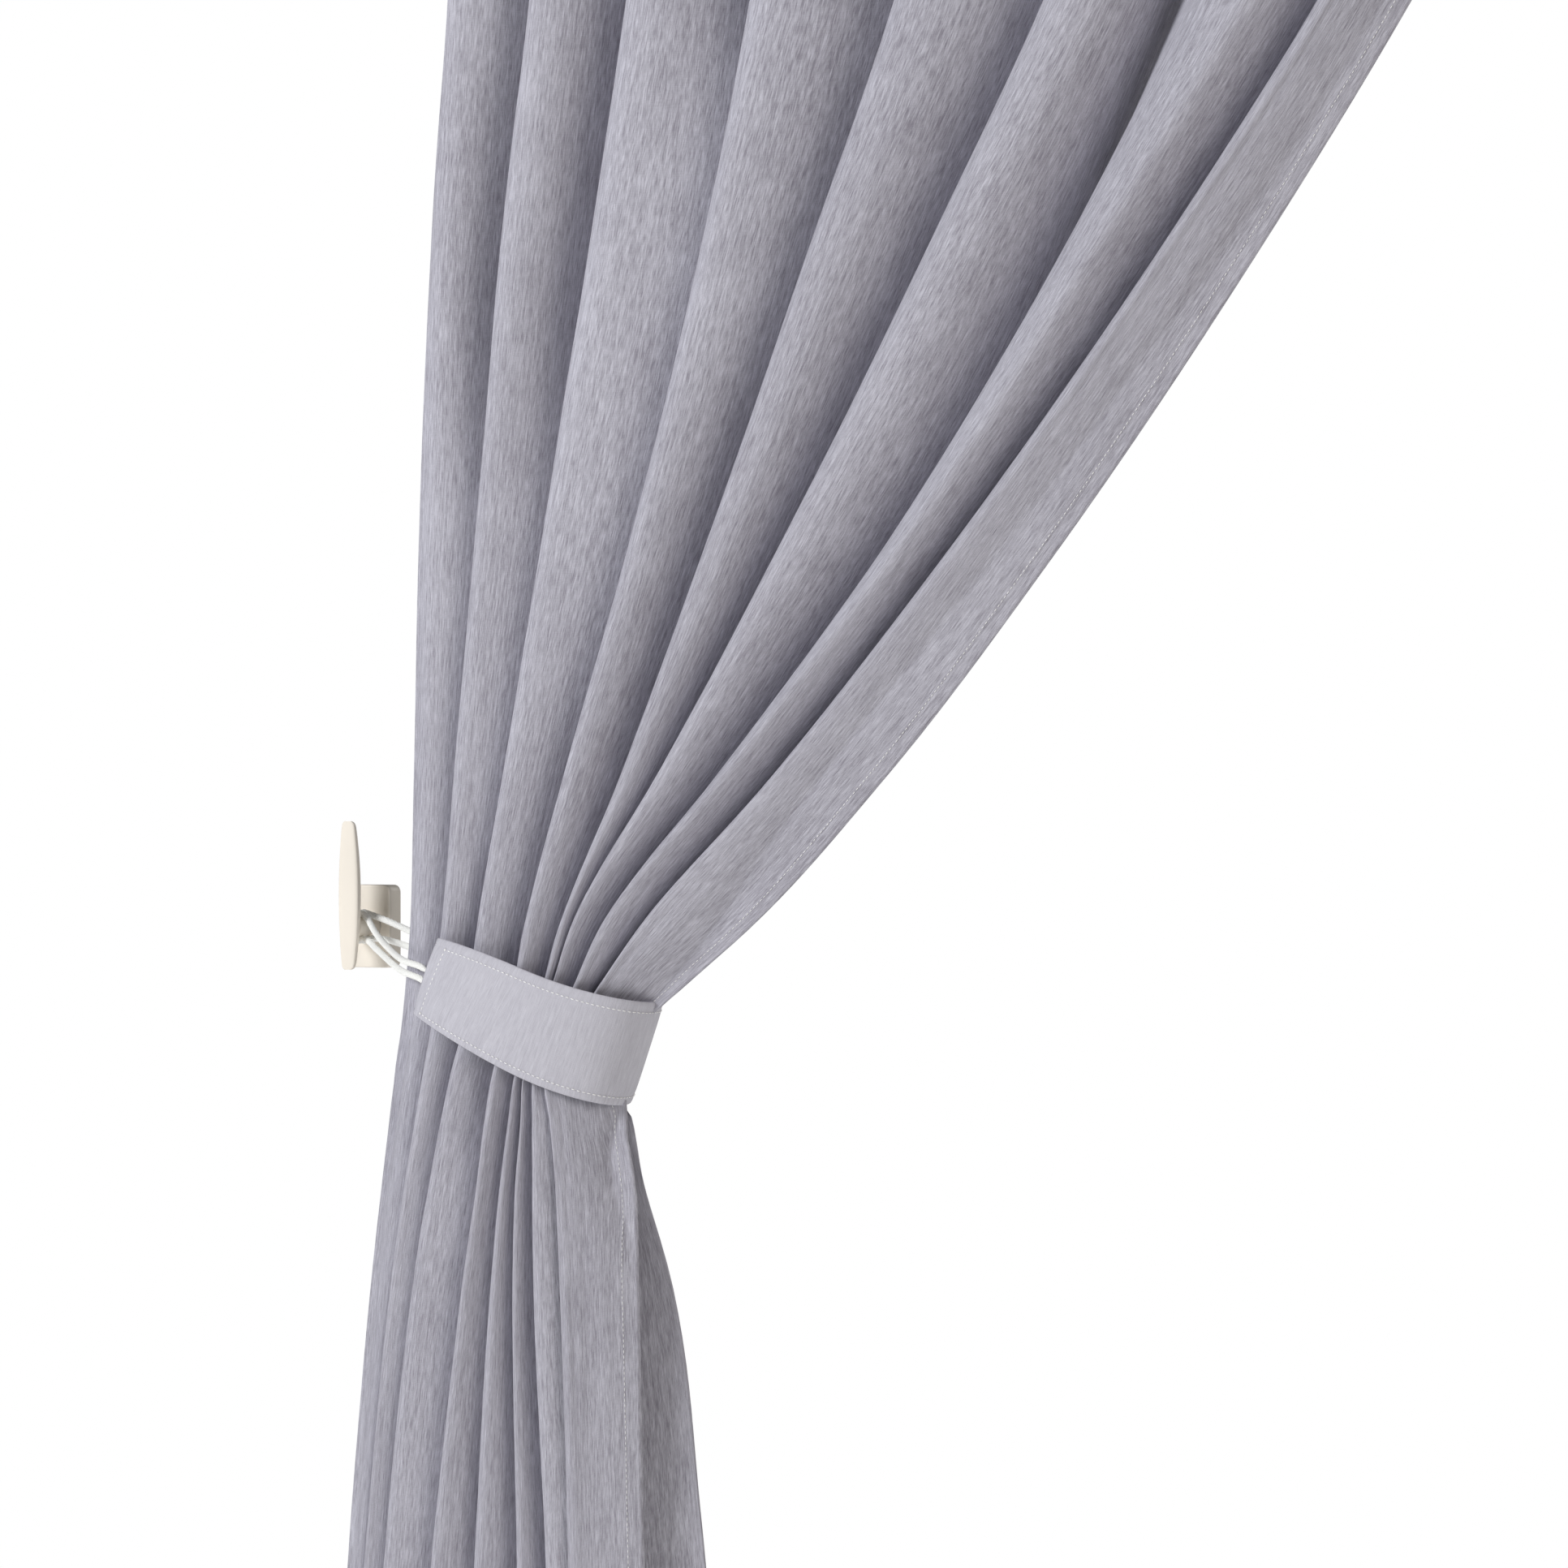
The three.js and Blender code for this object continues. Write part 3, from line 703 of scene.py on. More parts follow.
def value_noise(rows, columns, cells, seed):
    """Smooth noise from -1 to 1 over a grid, with that many cells down and across."""
    rng = np.random.default_rng(seed)
    knots = rng.uniform(-1, 1, (cells[0] + 3, cells[1] + 3))
    r = np.linspace(0, cells[0], rows)
    c = np.linspace(0, cells[1], columns)
    ri, ci = r.astype(int), c.astype(int)
    rf, cf = smoothstep(r - ri)[:, None], smoothstep(c - ci)[None]
    top = knots[np.ix_(ri, ci)] * (1 - cf) + knots[np.ix_(ri, ci + 1)] * cf
    low = knots[np.ix_(ri + 1, ci)] * (1 - cf) + knots[np.ix_(ri + 1, ci + 1)] * cf
    return top * (1 - rf) + low * rf


LAP = {  # one lapped fold: how far along it, then across it and to its back
    "along": (0, 0.13, 0.27, 0.40, 0.49, 0.58, 0.70, 0.80, 0.90, 1),
    "across": (0, 0.40, 0.86, 1.24, 1.40, 1.34, 1.12, 0.94, 0.87, 1),
    "back": (-1, -0.93, -0.80, -0.42, 0.15, 0.80, 0.95, 0.45, -0.42, -1),
}


def lapped_fold(p):
    """The lapped fold read smoothly, joined to the next at both ends."""
    along, across, back = (np.array(LAP[key], float) for key in ("along", "across", "back"))
    along = np.concatenate([along[-3:-1] - 1, along, along[1:3] + 1])
    across = np.concatenate([across[-3:-1] - 1, across, across[1:3] + 1])
    back = np.concatenate([back[-3:-1], back, back[1:3]])
    table = {a: (b, c) for a, b, c in zip(along, across, back)}
    read = smooth_table(table, np.ravel(p))
    return read[:, 0].reshape(p.shape), -read[:, 1].reshape(p.shape)


NIP = {  # how the sides stay open away from the tie, and how the band draws the cloth in
    "open_sides": 0.62, "under_tie": 0.01, "reach": 0.11, "edge": 0.9995,
    "band_up": 0.004, "band_slant": 0.028, "band_half": 0.026, "slack": 1.2 * MM, "draw": 2.6 * MM,
}
FLANK = {"open": 0.15, "tightened": 0.7}  # how upright a fold's flanks stand
CREST = {"round": 0.05, "flattened": 0.33}
ROOM = 1.7  # folds narrower than this many half depths press on each other
RETURN_SPAN = 0.040
LAP_LENGTH = 0.22  # over which a fold's lap sets in
HEAD_CLEAR = 1 * MM  # between the tape and the backs of the fine pleats
PLEAT_MIDDLE = 9 * MM
LEAD_RIPPLE = 2.5 * MM
SEEN_DEPTH = {"crest": 0.8, "edge": 0.2, "edge_loose": 0.7}  # of the half depth
LAST_BACK = 20  # columns in which the last fold's back is looked for

# Stretches of height under the rod over which each of these sets in.
BACK_SHOWS = 1.275, 1.33
PAST_TIE = 1.25, 1.4
OPEN_ENDS = 0.5, 0.95
FLANK_FOUND = 0.6, 0.95
FITTING_STARTS, FITTING_ENDS = (0.14, 0.5), (-2.28, -1.75)


class Drape:
    """The hung cloth as a grid of points, row by row from the head to the hem."""

    def __init__(self):
        self.z = heights()
        self.outline = section(self.z)
        head = [*ring_x[:-1], ring_x[-1] + HEAD_MARGIN, ring_x[-1] + HEAD_MARGIN]
        *seen, (hem, at_hem) = [(h * MM, np.array(row) * MM) for h, row in FOLD_SIDES.items()]
        self.target = np.zeros((len(self.z), len(head)))
        for k, x in enumerate(head):
            table = {TOP_Z: [x], -0.16: [0.985 * x], hem: [at_hem[k]]}
            for h, row in seen:
                nearness = seen_away(row[k], FRONT_Y) / DISTANCE
                table[AIM.z + (h - AIM.z) * nearness] = [row[k]]
            self.target[:, k] = smooth_table(table, self.z)[:, 0]
        self.sides = self.target.copy()
        self.loose = smoothstep(-self.z, *BACK_SHOWS)[:, None]
        fitted = smoothstep(-self.z, *FITTING_STARTS) * smoothstep(self.z, *FITTING_ENDS)
        for _ in range(5):
            self.lay()
            self.sides -= fitted[:, None] * self.seen_sides()
        self.lay()

    def envelope(self, x):
        """How far in front of or behind its middle the cloth reaches at each x."""
        mid, half, _, deep, square, _, _ = (a[:, None] for a in self.outline)
        z = self.z[:, None]
        across = np.clip((x - mid) / half, -NIP["edge"], NIP["edge"])
        ellipse = (1 - np.abs(across) ** square) ** (1 / square)
        near_tie = np.exp(-(((z - TIE_Z + NIP["under_tie"]) / NIP["reach"]) ** 2))
        least = NIP["open_sides"] * (1 - near_tie)
        band = TIE_Z + NIP["band_up"] - NIP["band_slant"] * across
        squeezed = NIP["slack"] + NIP["draw"] * np.exp(-(((z - band) / NIP["band_half"]) ** 2))
        return (deep - squeezed) * np.maximum(ellipse, least)

    def fold(self, p, start, span, skew, swell, depth, lapped=0.0, room=1.0):
        """Across one fold, from crest to crest; lapped folds lean over each other like tiles."""
        deep = self.outline[3][:, None]
        tight = np.clip(1 - span / (ROOM * deep), 0, 1)
        skew = skew * self.outline[5][:, None]
        swell = swell * self.outline[5][:, None] * (1 - 0.5 * tight)
        flank = FLANK["open"] + FLANK["tightened"] * tight
        flat = CREST["round"] + CREST["flattened"] * tight
        turn = 2 * np.pi * p
        x = p + flank * np.sin(2 * turn) / (4 * np.pi) + swell * np.sin(turn)
        x = x + skew * (1 - np.cos(turn)) / 2
        c = np.cos(turn)
        wave = (1 + flat) * c - flat * c**3
        lap_x, lap_wave = lapped_fold(p)
        lap_x = lap_x - np.maximum(lap_x - 1, 0) * (1 - room)
        x = start + span * (x + (lap_x - x) * lapped)
        wave = wave + (lap_wave - wave) * lapped
        return x, -self.envelope(x) * depth * wave

    def straight_return(self):
        """The cloth turned back at the straight side, half a fold behind the first crest."""
        first = self.sides[:, :1]
        p = np.linspace(0.5, 1, COLUMNS["return"], endpoint=False)[None]
        span = np.full((len(self.z), 1), RETURN_SPAN)
        x, y = self.fold(p, first - span, span, 0.62, 0.1, 1.0)
        head_x = first - (1 - p) * 2 * HEAD_MARGIN * 0.9 + 0 * x
        return x, y, head_x, 0 * x, (2 * p[0] - 1) * RETURN_CLOTH

    def one_fold(self, k, rng):
        """The cloth from one crest to the next."""
        z = self.z[:, None]
        p = np.linspace(0, 1, COLUMNS["fold"], endpoint=False)[None]
        start, end, beyond = (self.sides[:, i : i + 1] for i in (k, k + 1, k + 2))
        span, after = end - start, beyond - end
        skew = rng.uniform(0.26, 0.36) + 0.05 * np.sin(z * 5 + rng.uniform(0, 6))
        skew = skew - OPEN_FOLDS.get(k, 0) * (1 - smoothstep(-z, *OPEN_ENDS))
        swell = rng.uniform(0.085, 0.125)
        depth = rng.uniform(0.93, 1.0)
        begin, above, below = LAPPING[k]
        lapped = above + (below - above) * smoothstep(-z, *PAST_TIE)
        lapped = smoothstep(-z, begin, begin + LAP_LENGTH) * lapped
        if k == FOLDS - 1:
            wide = (self.sides[:, -1:] - start) / span - 0.5
            skew = skew * (1 - self.loose) + wide * self.loose
        room = np.clip(after / span, 0.15, 1)
        x, y = self.fold(p, start, span, skew, swell, depth, lapped, room)
        # Fine pleats in the head: a sine wave high enough to take up the fold's cloth.
        width = span[0, 0] / FINE_PLEATS
        tight = FOLD_CLOTH / FINE_PLEATS / width
        rise = width / (2 * np.pi) * math.sqrt(max(tight**2 * 1.9 - 1.9, 0.05))
        head_y = -rise * np.cos(2 * np.pi * FINE_PLEATS * p) + 0 * x
        return x, y, start + span * p, head_y, RETURN_CLOTH + FOLD_CLOTH * (k + p[0])

    def leading_panel(self):
        """The cloth from the last crest to the leading edge, which turns back a little."""
        p = np.linspace(0, 1, COLUMNS["leading"])[None]
        start, end = (self.sides[:, i : i + 1] for i in (FOLDS, FOLDS + 1))
        bunched = np.clip(LEADING_CLOTH / (end - start) - 1, -0.5, 0.6)
        x = start + (end - start) * ((1 - bunched) * p + bunched * p**2)
        turned_back = 0.95 - 0.4 * self.loose
        y = -self.envelope(x) * (1 - turned_back * p**1.8)
        head_y = -LEAD_RIPPLE * np.cos(2 * np.pi * 2 * p) + 0 * x
        cloth = RETURN_CLOTH + FOLD_CLOTH * FOLDS + LEADING_CLOTH * p[0]
        return x, y, start + (end - start) * p, head_y, cloth

    def lay(self):
        """Works the grid out from where the folds' crests stand."""
        rng = np.random.default_rng(5)
        panels = [self.straight_return()]
        panels += [self.one_fold(k, rng) for k in range(FOLDS)]
        panels.append(self.leading_panel())
        xs, ys, head_xs, head_ys, cloth = zip(*panels)
        mid, half, y_mid, _, _, freed, under = (a[:, None] for a in self.outline)
        x, y = np.hstack(xs), np.hstack(ys) + y_mid
        head_x = np.hstack(head_xs)
        head_y = np.hstack(head_ys) + CLOTH_BACK - HEAD_CLEAR - PLEAT_MIDDLE
        x = head_x * (1 - freed) + x * freed
        y = head_y * (1 - freed) + (y - y_mid) * freed**0.8 + y_mid * freed
        self.cloth = np.concatenate(cloth)
        across = np.clip((x - mid) / half, -1, 1)
        z = self.z[:, None] + HEM_RISE * under**2 * (across + 1) / 2
        self.points = np.stack([x, y, z + 0 * x], -1)

    def columns_of(self, crest, left=COLUMNS["fold"] // 3):
        """Columns near a crest, from its left flank to its right one."""
        first = COLUMNS["return"] + COLUMNS["fold"] * crest
        left = min(left, COLUMNS["return"] // 2) if crest == 0 else left
        return slice(first - left, first + 8)

    def seen_sides(self):
        """How far each fold's outermost left point, the leading edge and the last fold's back
        stand from their places, as the viewing side sees them."""
        mid, half, y_mid, deep, *_ = self.outline
        line = seen_across(self.points[..., 0], self.points[..., 1])
        front = y_mid - SEEN_DEPTH["crest"] * deep
        missed = []
        for k in range(FOLDS + 1):
            found = line[:, self.columns_of(k)].min(1)
            if k - 1 in OPEN_FOLDS:
                near = line[:, self.columns_of(k, 2)].min(1)
                found = near + (found - near) * smoothstep(-self.z, *FLANK_FOUND)
            missed.append(found - seen_across(self.target[:, k], front))
        level = (SEEN_DEPTH["edge"] - SEEN_DEPTH["edge_loose"] * self.loose[:, 0]) * deep
        found = line[:, -COLUMNS["leading"] // 2 :].max(1)
        missed.append(found - seen_across(self.target[:, -2], y_mid + level))
        last = self.columns_of(FOLDS - 1).stop
        found = line[:, last : last + LAST_BACK].max(1)
        back = found - seen_across(self.target[:, -1], y_mid + SEEN_DEPTH["edge"] * deep)
        missed.append(np.where(self.loose[:, 0] > 0.01, back, 0))
        return np.stack(missed, -1) / math.cos(VIEW_FROM)

    def normals(self):
        """Directions out of the cloth's front."""
        down = np.gradient(self.points, axis=0)
        across = np.gradient(self.points, axis=1)
        n = np.cross(down, across)
        return n / np.linalg.norm(n, axis=-1, keepdims=True)


# In the last panel: across the view, height, reach along and aside, lean, depth.
CREASES = [
    (0.028, -1.224, 0.018, 0.0055, math.radians(22), 0.0065),
    (0.046, -1.206, 0.022, 0.006, math.radians(40), -0.002),
    (0.012, -1.316, 0.011, 0.0045, math.radians(-62), 0.0045),
    (0.024, -1.322, 0.012, 0.005, math.radians(-70), 0.003),
]
drape = Drape()
rows, columns = drape.points.shape[:2]
soft = value_noise(rows, columns, (14, 46), 3) + 0.6 * value_noise(rows, columns, (30, 90), 4)
SOFTNESS = 0.7 * MM  # height of the cloth's broad unevenness
drape.points += drape.normals() * (soft * SOFTNESS * drape.outline[5][:, None])[..., None]
normals = drape.normals()
line = seen_across(drape.points[..., 0], drape.points[..., 1])
for across, z, reach_across, reach_down, lean, depth in CREASES:
    over, up = line - across, drape.points[..., 2] - z
    along = over * math.cos(lean) + up * math.sin(lean)
    aside = up * math.cos(lean) - over * math.sin(lean)
    sunk = depth * np.exp(-((along / reach_across) ** 2) - (aside / reach_down) ** 2)
    in_panel = np.arange(columns) >= columns - COLUMNS["leading"] - 4
    drape.points -= normals * (sunk * in_panel)[..., None]
normals = drape.normals()
down_thread = np.zeros((rows, columns))
down_thread[1:] = np.cumsum(np.linalg.norm(np.diff(drape.points, axis=0), axis=-1), 0)
cloth_uv = np.stack([np.broadcast_to(drape.cloth, (rows, columns)), -down_thread], -1)

CLOTH_THICKNESS = 0.9 * MM


def hang(piece, slot, *nodes):
    """A finished piece on the curtain, its placement baked into its points, in place of its CAD
    nodes.
    """
    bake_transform(piece)
    if nodes:
        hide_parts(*nodes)
    return piece


def shell(name, points, normals, near, far, uv, material):
    """A closed body between two offsets from a patch of the cloth, near nearer its front."""
    r, c = points.shape[:2]
    front, back = points + normals * near, points + normals * far
    vertices = np.vstack([front.reshape(-1, 3), back.reshape(-1, 3)])
    count = r * c
    faces = grid_faces(r, c) + [f[::-1] for f in grid_faces(r, c, start=count)]
    index = np.arange(count).reshape(r, c)
    rim = [*index[0], *index[1:, -1], *index[-1, -2::-1], *index[-2:0:-1, 0]]
    rim = [int(i) for i in rim]
    for a, b in zip(rim, rim[1:] + rim[:1]):
        faces.append([a, b, b + count, a + count])
    uv = uv.reshape(-1, 2)
    return new_object(name, vertices, faces, np.vstack([uv, uv]), material)


half_cloth = CLOTH_THICKNESS / 2
hem_gap = half_cloth + 0.15 * MM
curtain = shell("curtain", drape.points, normals, half_cloth, -half_cloth, cloth_uv, CLOTH)
hang(curtain, "curtain_cloth", "curtain_panel")


def behind(name, rows_taken, columns_taken):
    """The turned-in hem of some rows and columns, on the cloth's back."""
    taken = np.ix_(rows_taken, columns_taken)
    return shell(name, drape.points[taken], normals[taken], -hem_gap, -hem_gap - CLOTH_THICKNESS,
                 cloth_uv[taken], CLOTH)


every_row, every_column = np.arange(rows), np.arange(columns)
hem_rows = every_row[drape.z < HEM_Z + 0.082]
SIDE_HEM = 12 * MM
lead_columns = every_column[drape.cloth > drape.cloth[-1] - SIDE_HEM - 1 * MM]
side_columns = every_column[drape.cloth < SIDE_HEM + 1 * MM]
hem_pieces = [
    behind("leading_side_hem", every_row[1:-1], lead_columns),
    behind("straight_side_hem", every_row[1:-1], side_columns),
    behind("bottom_hem", hem_rows, every_column[lead_columns.size : -lead_columns.size]),
]
for piece in hem_pieces:
    hang(piece, "curtain_cloth")

on_front = drape.points + normals * hem_gap
tack = [
    on_front[:, lead_columns[0]],
    on_front[:, side_columns[-1]],
    on_front[hem_rows[0]],
]
hang(stitch_rows("curtain_stitches", tack, Thread=0.22 * MM), "curtain_cloth")

TAPE = {"back": -85.3 * MM, "thickness": 1.2 * MM, "inset": 2 * MM, "pocket": 0.0125}


def make_heading_tape():
    """Woven tape with two draw cords under its face and a row of pockets for the hooks."""
    along = np.linspace(ring_x[0], ring_x[-1], 361)
    down = np.linspace(TOP_Z - TAPE["inset"], TOP_Z - HEADER + TAPE["inset"], 29)
    x, z = np.meshgrid(along, down)
    lay = (z - down[-1]) / (down[0] - down[-1])
    cords = np.exp(-(((lay - 0.2) / 0.03) ** 2)) + np.exp(-(((lay - 0.8) / 0.03) ** 2))
    pocket = smoothstep(np.sin(2 * np.pi * x / TAPE["pocket"]), -0.2, 0.6)
    pocket = pocket * smoothstep(0.24 - np.abs(lay - 0.5), 0, 0.03)
    relief = 0.28 * MM * cords + 0.22 * MM * pocket
    y_back = TAPE["back"] - 0.3 * MM + relief
    front = np.stack([x, 0 * x + TAPE["back"] - TAPE["thickness"], z], -1)
    flat = np.stack([x, z], -1)
    toward_back = np.stack([0 * x, (y_back - front[..., 1]), 0 * x], -1)
    return shell("heading_tape_woven", front, toward_back, 0, 1, flat, TAPE_CLOTH)


tape = make_heading_tape()
hang(tape, "heading_tape", "heading_tape")
tape_rows = [[(x, TAPE["back"] - 0.15 * MM, z) for x in np.linspace(ring_x[0], ring_x[-1], 60)]
             for z in (TOP_Z - 4.5 * MM, TOP_Z - HEADER + 4.5 * MM)]
hang(stitch_rows("tape_stitches", tape_rows), "heading_tape")


# ---- Band ---------------------------------------------------------------------------------

BAND = {"core": 2.2 * MM + 1.9 * MM, "half": 1.55 * MM, "middle": 71 * MM, "ends": 54.5 * MM}
BAND_END = {"front": -138, "back": 135}
BAND_DROP = 19.2 * MM
BAND_RISE = {"front": 54.1 * MM, "back": 67 * MM}
BAND_SQUARENESS = 2.35
BAND_SLANT = 11  # degrees, of its front end from foot to top
SEAM_ALLOWANCE = 0.17  # of the half width, from the edge to the row of stitches


def outline_point(z, degrees, margin, square=BAND_SQUARENESS):
    """Points of the curtain's outline at angles round it, grown by a margin."""
    mid, half, y_mid, deep, _, _, under = section(z)
    turn = np.radians(degrees)
    c, d = np.cos(turn), np.sin(turn)
    across = np.sign(c) * np.abs(c) ** (2 / square)
    back = np.sign(d) * np.abs(d) ** (2 / square)
    x, y = mid + (half + margin) * across, y_mid + (deep + margin) * back
    return np.stack([x, y, z + HEM_RISE * under**2 * (across + 1) / 2 + 0 * x], -1)


def band_point(degrees, across, margin):
    """A point of the band, across from -1 at its foot to 1 at its top."""
    side = np.where(degrees < 0, degrees / BAND_END["front"], degrees / BAND_END["back"])
    rise = np.where(degrees < 0, BAND_RISE["front"], BAND_RISE["back"])
    turn = np.radians(degrees)
    back, sideways = (np.abs(f(turn)) ** (2 / BAND_SQUARENESS) for f in (np.sin, np.cos))
    seen_at = np.degrees(np.arctan2(back, np.sign(np.cos(turn)) * sideways))
    rise = rise * smoothstep((seen_at / 150) ** 1.35)
    half = (BAND["middle"] + (BAND["ends"] - BAND["middle"]) * side**2) / 2
    z = TIE_Z - BAND_DROP + rise
    top = outline_point(z + half, degrees, margin)
    foot = outline_point(z - half, degrees, margin)
    share = ((across + 1) / 2)[..., None]
    return foot + (top - foot) * share


def slanted(along, lay):
    """Angles round the band with its front end cut on the slant."""
    return along + BAND_SLANT * (lay + 1) / 2 * smoothstep(-along, 60, -BAND_END["front"])


def thinned(along):
    """The share of its thickness that the band keeps next to its ends."""
    end = np.minimum(along - BAND_END["front"], BAND_END["back"] - along)
    return 0.45 + 0.55 * smoothstep(end, 0, 1.2)


def make_band():
    along = np.linspace(BAND_END["front"], BAND_END["back"], 190)[:, None]
    kept = thinned(along)
    lay = np.sin(np.linspace(-1, 1, 41) * 1.45)[None] / math.sin(1.45)  # closest at the edges
    along = slanted(along, lay)
    rim = np.sqrt(np.clip(1 - np.abs(lay) ** 30, 0, 1))
    groove = np.exp(-(((np.abs(lay) - (1 - SEAM_ALLOWANCE)) / 0.045) ** 2))
    puff = 0.62 + 0.38 * (1 - lay**4) - 0.22 * groove
    puff = puff + 0 * along
    thick = BAND["half"] * puff * rim * kept
    outer = band_point(along, lay * 0.995, BAND["core"] + thick)
    inner = band_point(along, lay * 0.995, BAND["core"] - thick * 0.8)
    rings = np.concatenate([outer, inner[:, ::-1]], 1)
    vertices, faces = loft(rings)
    run = np.array([run_length(outer[:, 20])]).T
    across = lay * BAND["middle"] / 2
    uv = np.stack([np.broadcast_to(across, outer.shape[:2]) + 3, run + 0 * lay], -1)
    uv = np.concatenate([uv, uv[:, ::-1]], 1).reshape(-1, 2)
    uv = np.vstack([uv, uv[:1], uv[-1:]])
    return face_outwards(new_object("tieback", vertices, faces, uv[:, ::-1], BAND_CLOTH))


def band_seam(along, lay):
    """A line on the band's outer face, where its rows of stitches lie."""
    face = BAND["core"] + BAND["half"] * 0.8 * thinned(along) + 0.16 * MM
    return band_point(slanted(along, lay), lay, face)


band = make_band()
settle(band, "fixed_parts", "band_cloth", "tieback_band")
SEAMS = {"top": 0.78, "foot": -0.85, "front": -130, "back": 130}
along = np.linspace(SEAMS["front"], SEAMS["back"], 240)
across = np.linspace(SEAMS["foot"], SEAMS["top"], 24)
seams = [band_seam(along, np.full(along.shape, SEAMS[row])) for row in ("top", "foot")]
seams += [band_seam(np.full(across.shape, SEAMS[end]), across) for end in ("front", "back")]
settle(stitch_rows("band_stitches", seams), "fixed_parts", "band_cloth")


# ---- Wall hook ----------------------------------------------------------------------------

BASE = {"width": 35, "height": 58, "depth": 14, "corner": 5, "scoop_r": 60, "scoop": 2.2}
BAR = {"front": -42.5, "length": 103.4, "stem_up": 29.7, "width": 16.4, "waist": 6.5,
       "thickness": 6, "thinning": 2.5}
BASE_EDGE = 1.1


def rounded_rectangle(width, height, corner, steps=9):
    """Points round a rectangle with rounded corners, in the XZ plane."""
    points = []
    for k, (sx, sz) in enumerate([(1, 1), (-1, 1), (-1, -1), (1, -1)]):
        for a in np.linspace(k * 90, k * 90 + 90, steps):
            turn = math.radians(a)
            points.append((sx * (width / 2 - corner) + corner * math.cos(turn),
                           sz * (height / 2 - corner) + corner * math.sin(turn)))
    return np.array(points)


def scooped_face(x):
    scoop = -BASE["depth"] - BASE["scoop_r"] + BASE["scoop"] + np.sqrt(BASE["scoop_r"] ** 2 - x**2)
    return np.maximum(scoop, -BASE["depth"])


def make_hook_base():
    """A block with rounded corners, its front scooped from side to side."""
    rings = []

    def ring(inset, y_of):
        width, height = BASE["width"] - 2 * inset, BASE["height"] - 2 * inset
        outline = rounded_rectangle(width, height, BASE["corner"])
        rings.append(np.stack([outline[:, 0], y_of(outline[:, 0]), outline[:, 1]], -1))

    for inset, y in [(0.8, 0), (0.25, -0.25), (0, -0.8)]:
        ring(inset, lambda x: np.full(len(x), float(y)))
    for a in np.linspace(0, math.pi / 2, 6):
        over = BASE_EDGE * (1 - math.sin(a))
        ring(BASE_EDGE * (1 - math.cos(a)), lambda x: scooped_face(x) + over)
    edge = rings[-1]
    for share in np.linspace(1, 0, 16)[1:]:
        inner = edge * [share, 1, share]
        inner[:, 1] = scooped_face(inner[:, 0])
        rings.append(inner)
    vertices, faces = loft(np.array(rings) * MM + [HOOK.x, 0, HOOK.z])
    return face_outwards(new_object("hook_base_scooped", vertices, faces, material=IVORY))


def make_hook_bar():
    """A lens-shaped bar, widest and thickest in the middle, its front nearly flat."""
    rings = []
    for k in range(65):
        along = math.sin(math.radians(-90 + 180 * k / 64))
        ending = math.sqrt(1 - abs(along) ** 44 * 0.75)
        width = (BAR["width"] - BAR["waist"] * along**2) * ending
        thickness = (BAR["thickness"] - BAR["thinning"] * along**2) * ending
        turn = full_turn(64)
        c, d = np.cos(turn), np.sin(turn)
        x = np.sign(c) * np.abs(c) ** 0.5 * width / 2
        y = np.sign(d) * np.abs(d) ** 0.5 * thickness / 2 + thickness / 2
        rings.append(np.stack([x, BAR["front"] + y, 0 * x + along * BAR["length"] / 2], -1))
    up = BAR["length"] / 2 - BAR["stem_up"]
    vertices, faces = loft(np.array(rings) * MM + [HOOK.x, 0, HOOK.z + up * MM])
    return face_outwards(new_object("hook_bar_lens", vertices, faces, material=IVORY))


def make_hook_stem():
    low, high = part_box("hook_stem")
    r, length = STEM_R, high.y - low.y
    flare, flare_length = 1.4 * MM, 4 * MM
    profile = [(0, 0), (r - 0.3 * MM, 0), (r, 0.4 * MM), (r, length - flare_length)]
    for a in np.linspace(0, math.pi / 2, 7)[1:]:
        at = length - flare_length + flare_length * math.sin(a)
        profile.append((r + flare * (1 - math.cos(a)), at))
    profile.append((0, length))
    origin = (HOOK.x, low.y, HOOK.z)
    return turned("hook_stem_round", profile, origin, (0, 1, 0), IVORY, 64)


settle(make_hook_base(), "fixed_parts", "wall_hook", "hook_base")
settle(make_hook_bar(), "fixed_parts", "wall_hook", "hook_bar")
settle(make_hook_stem(), "fixed_parts", "wall_hook", "hook_stem")


# ---- Rod, brackets, rings and fittings ----------------------------------------------------


def tube(name, node, body):
    low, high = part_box(node)
    r, wall, ease = (high.z - low.z) / 2, 1.2 * MM, 0.25 * MM
    length = high.x - low.x
    profile = [(r - wall, ease), (r - wall + ease, 0), (r - ease, 0), (r, ease), (r, length - ease),
               (r - ease, length), (r - wall + ease, length), (r - wall, length - ease)]
    made = turned(name, profile, (low.x, ROD.y, ROD.z), (1, 0, 0), LACQUER, 80, closed=True)
    made.data.set_sharp_from_angle(angle=math.radians(50))
    return settle(made, body, "rod", node)


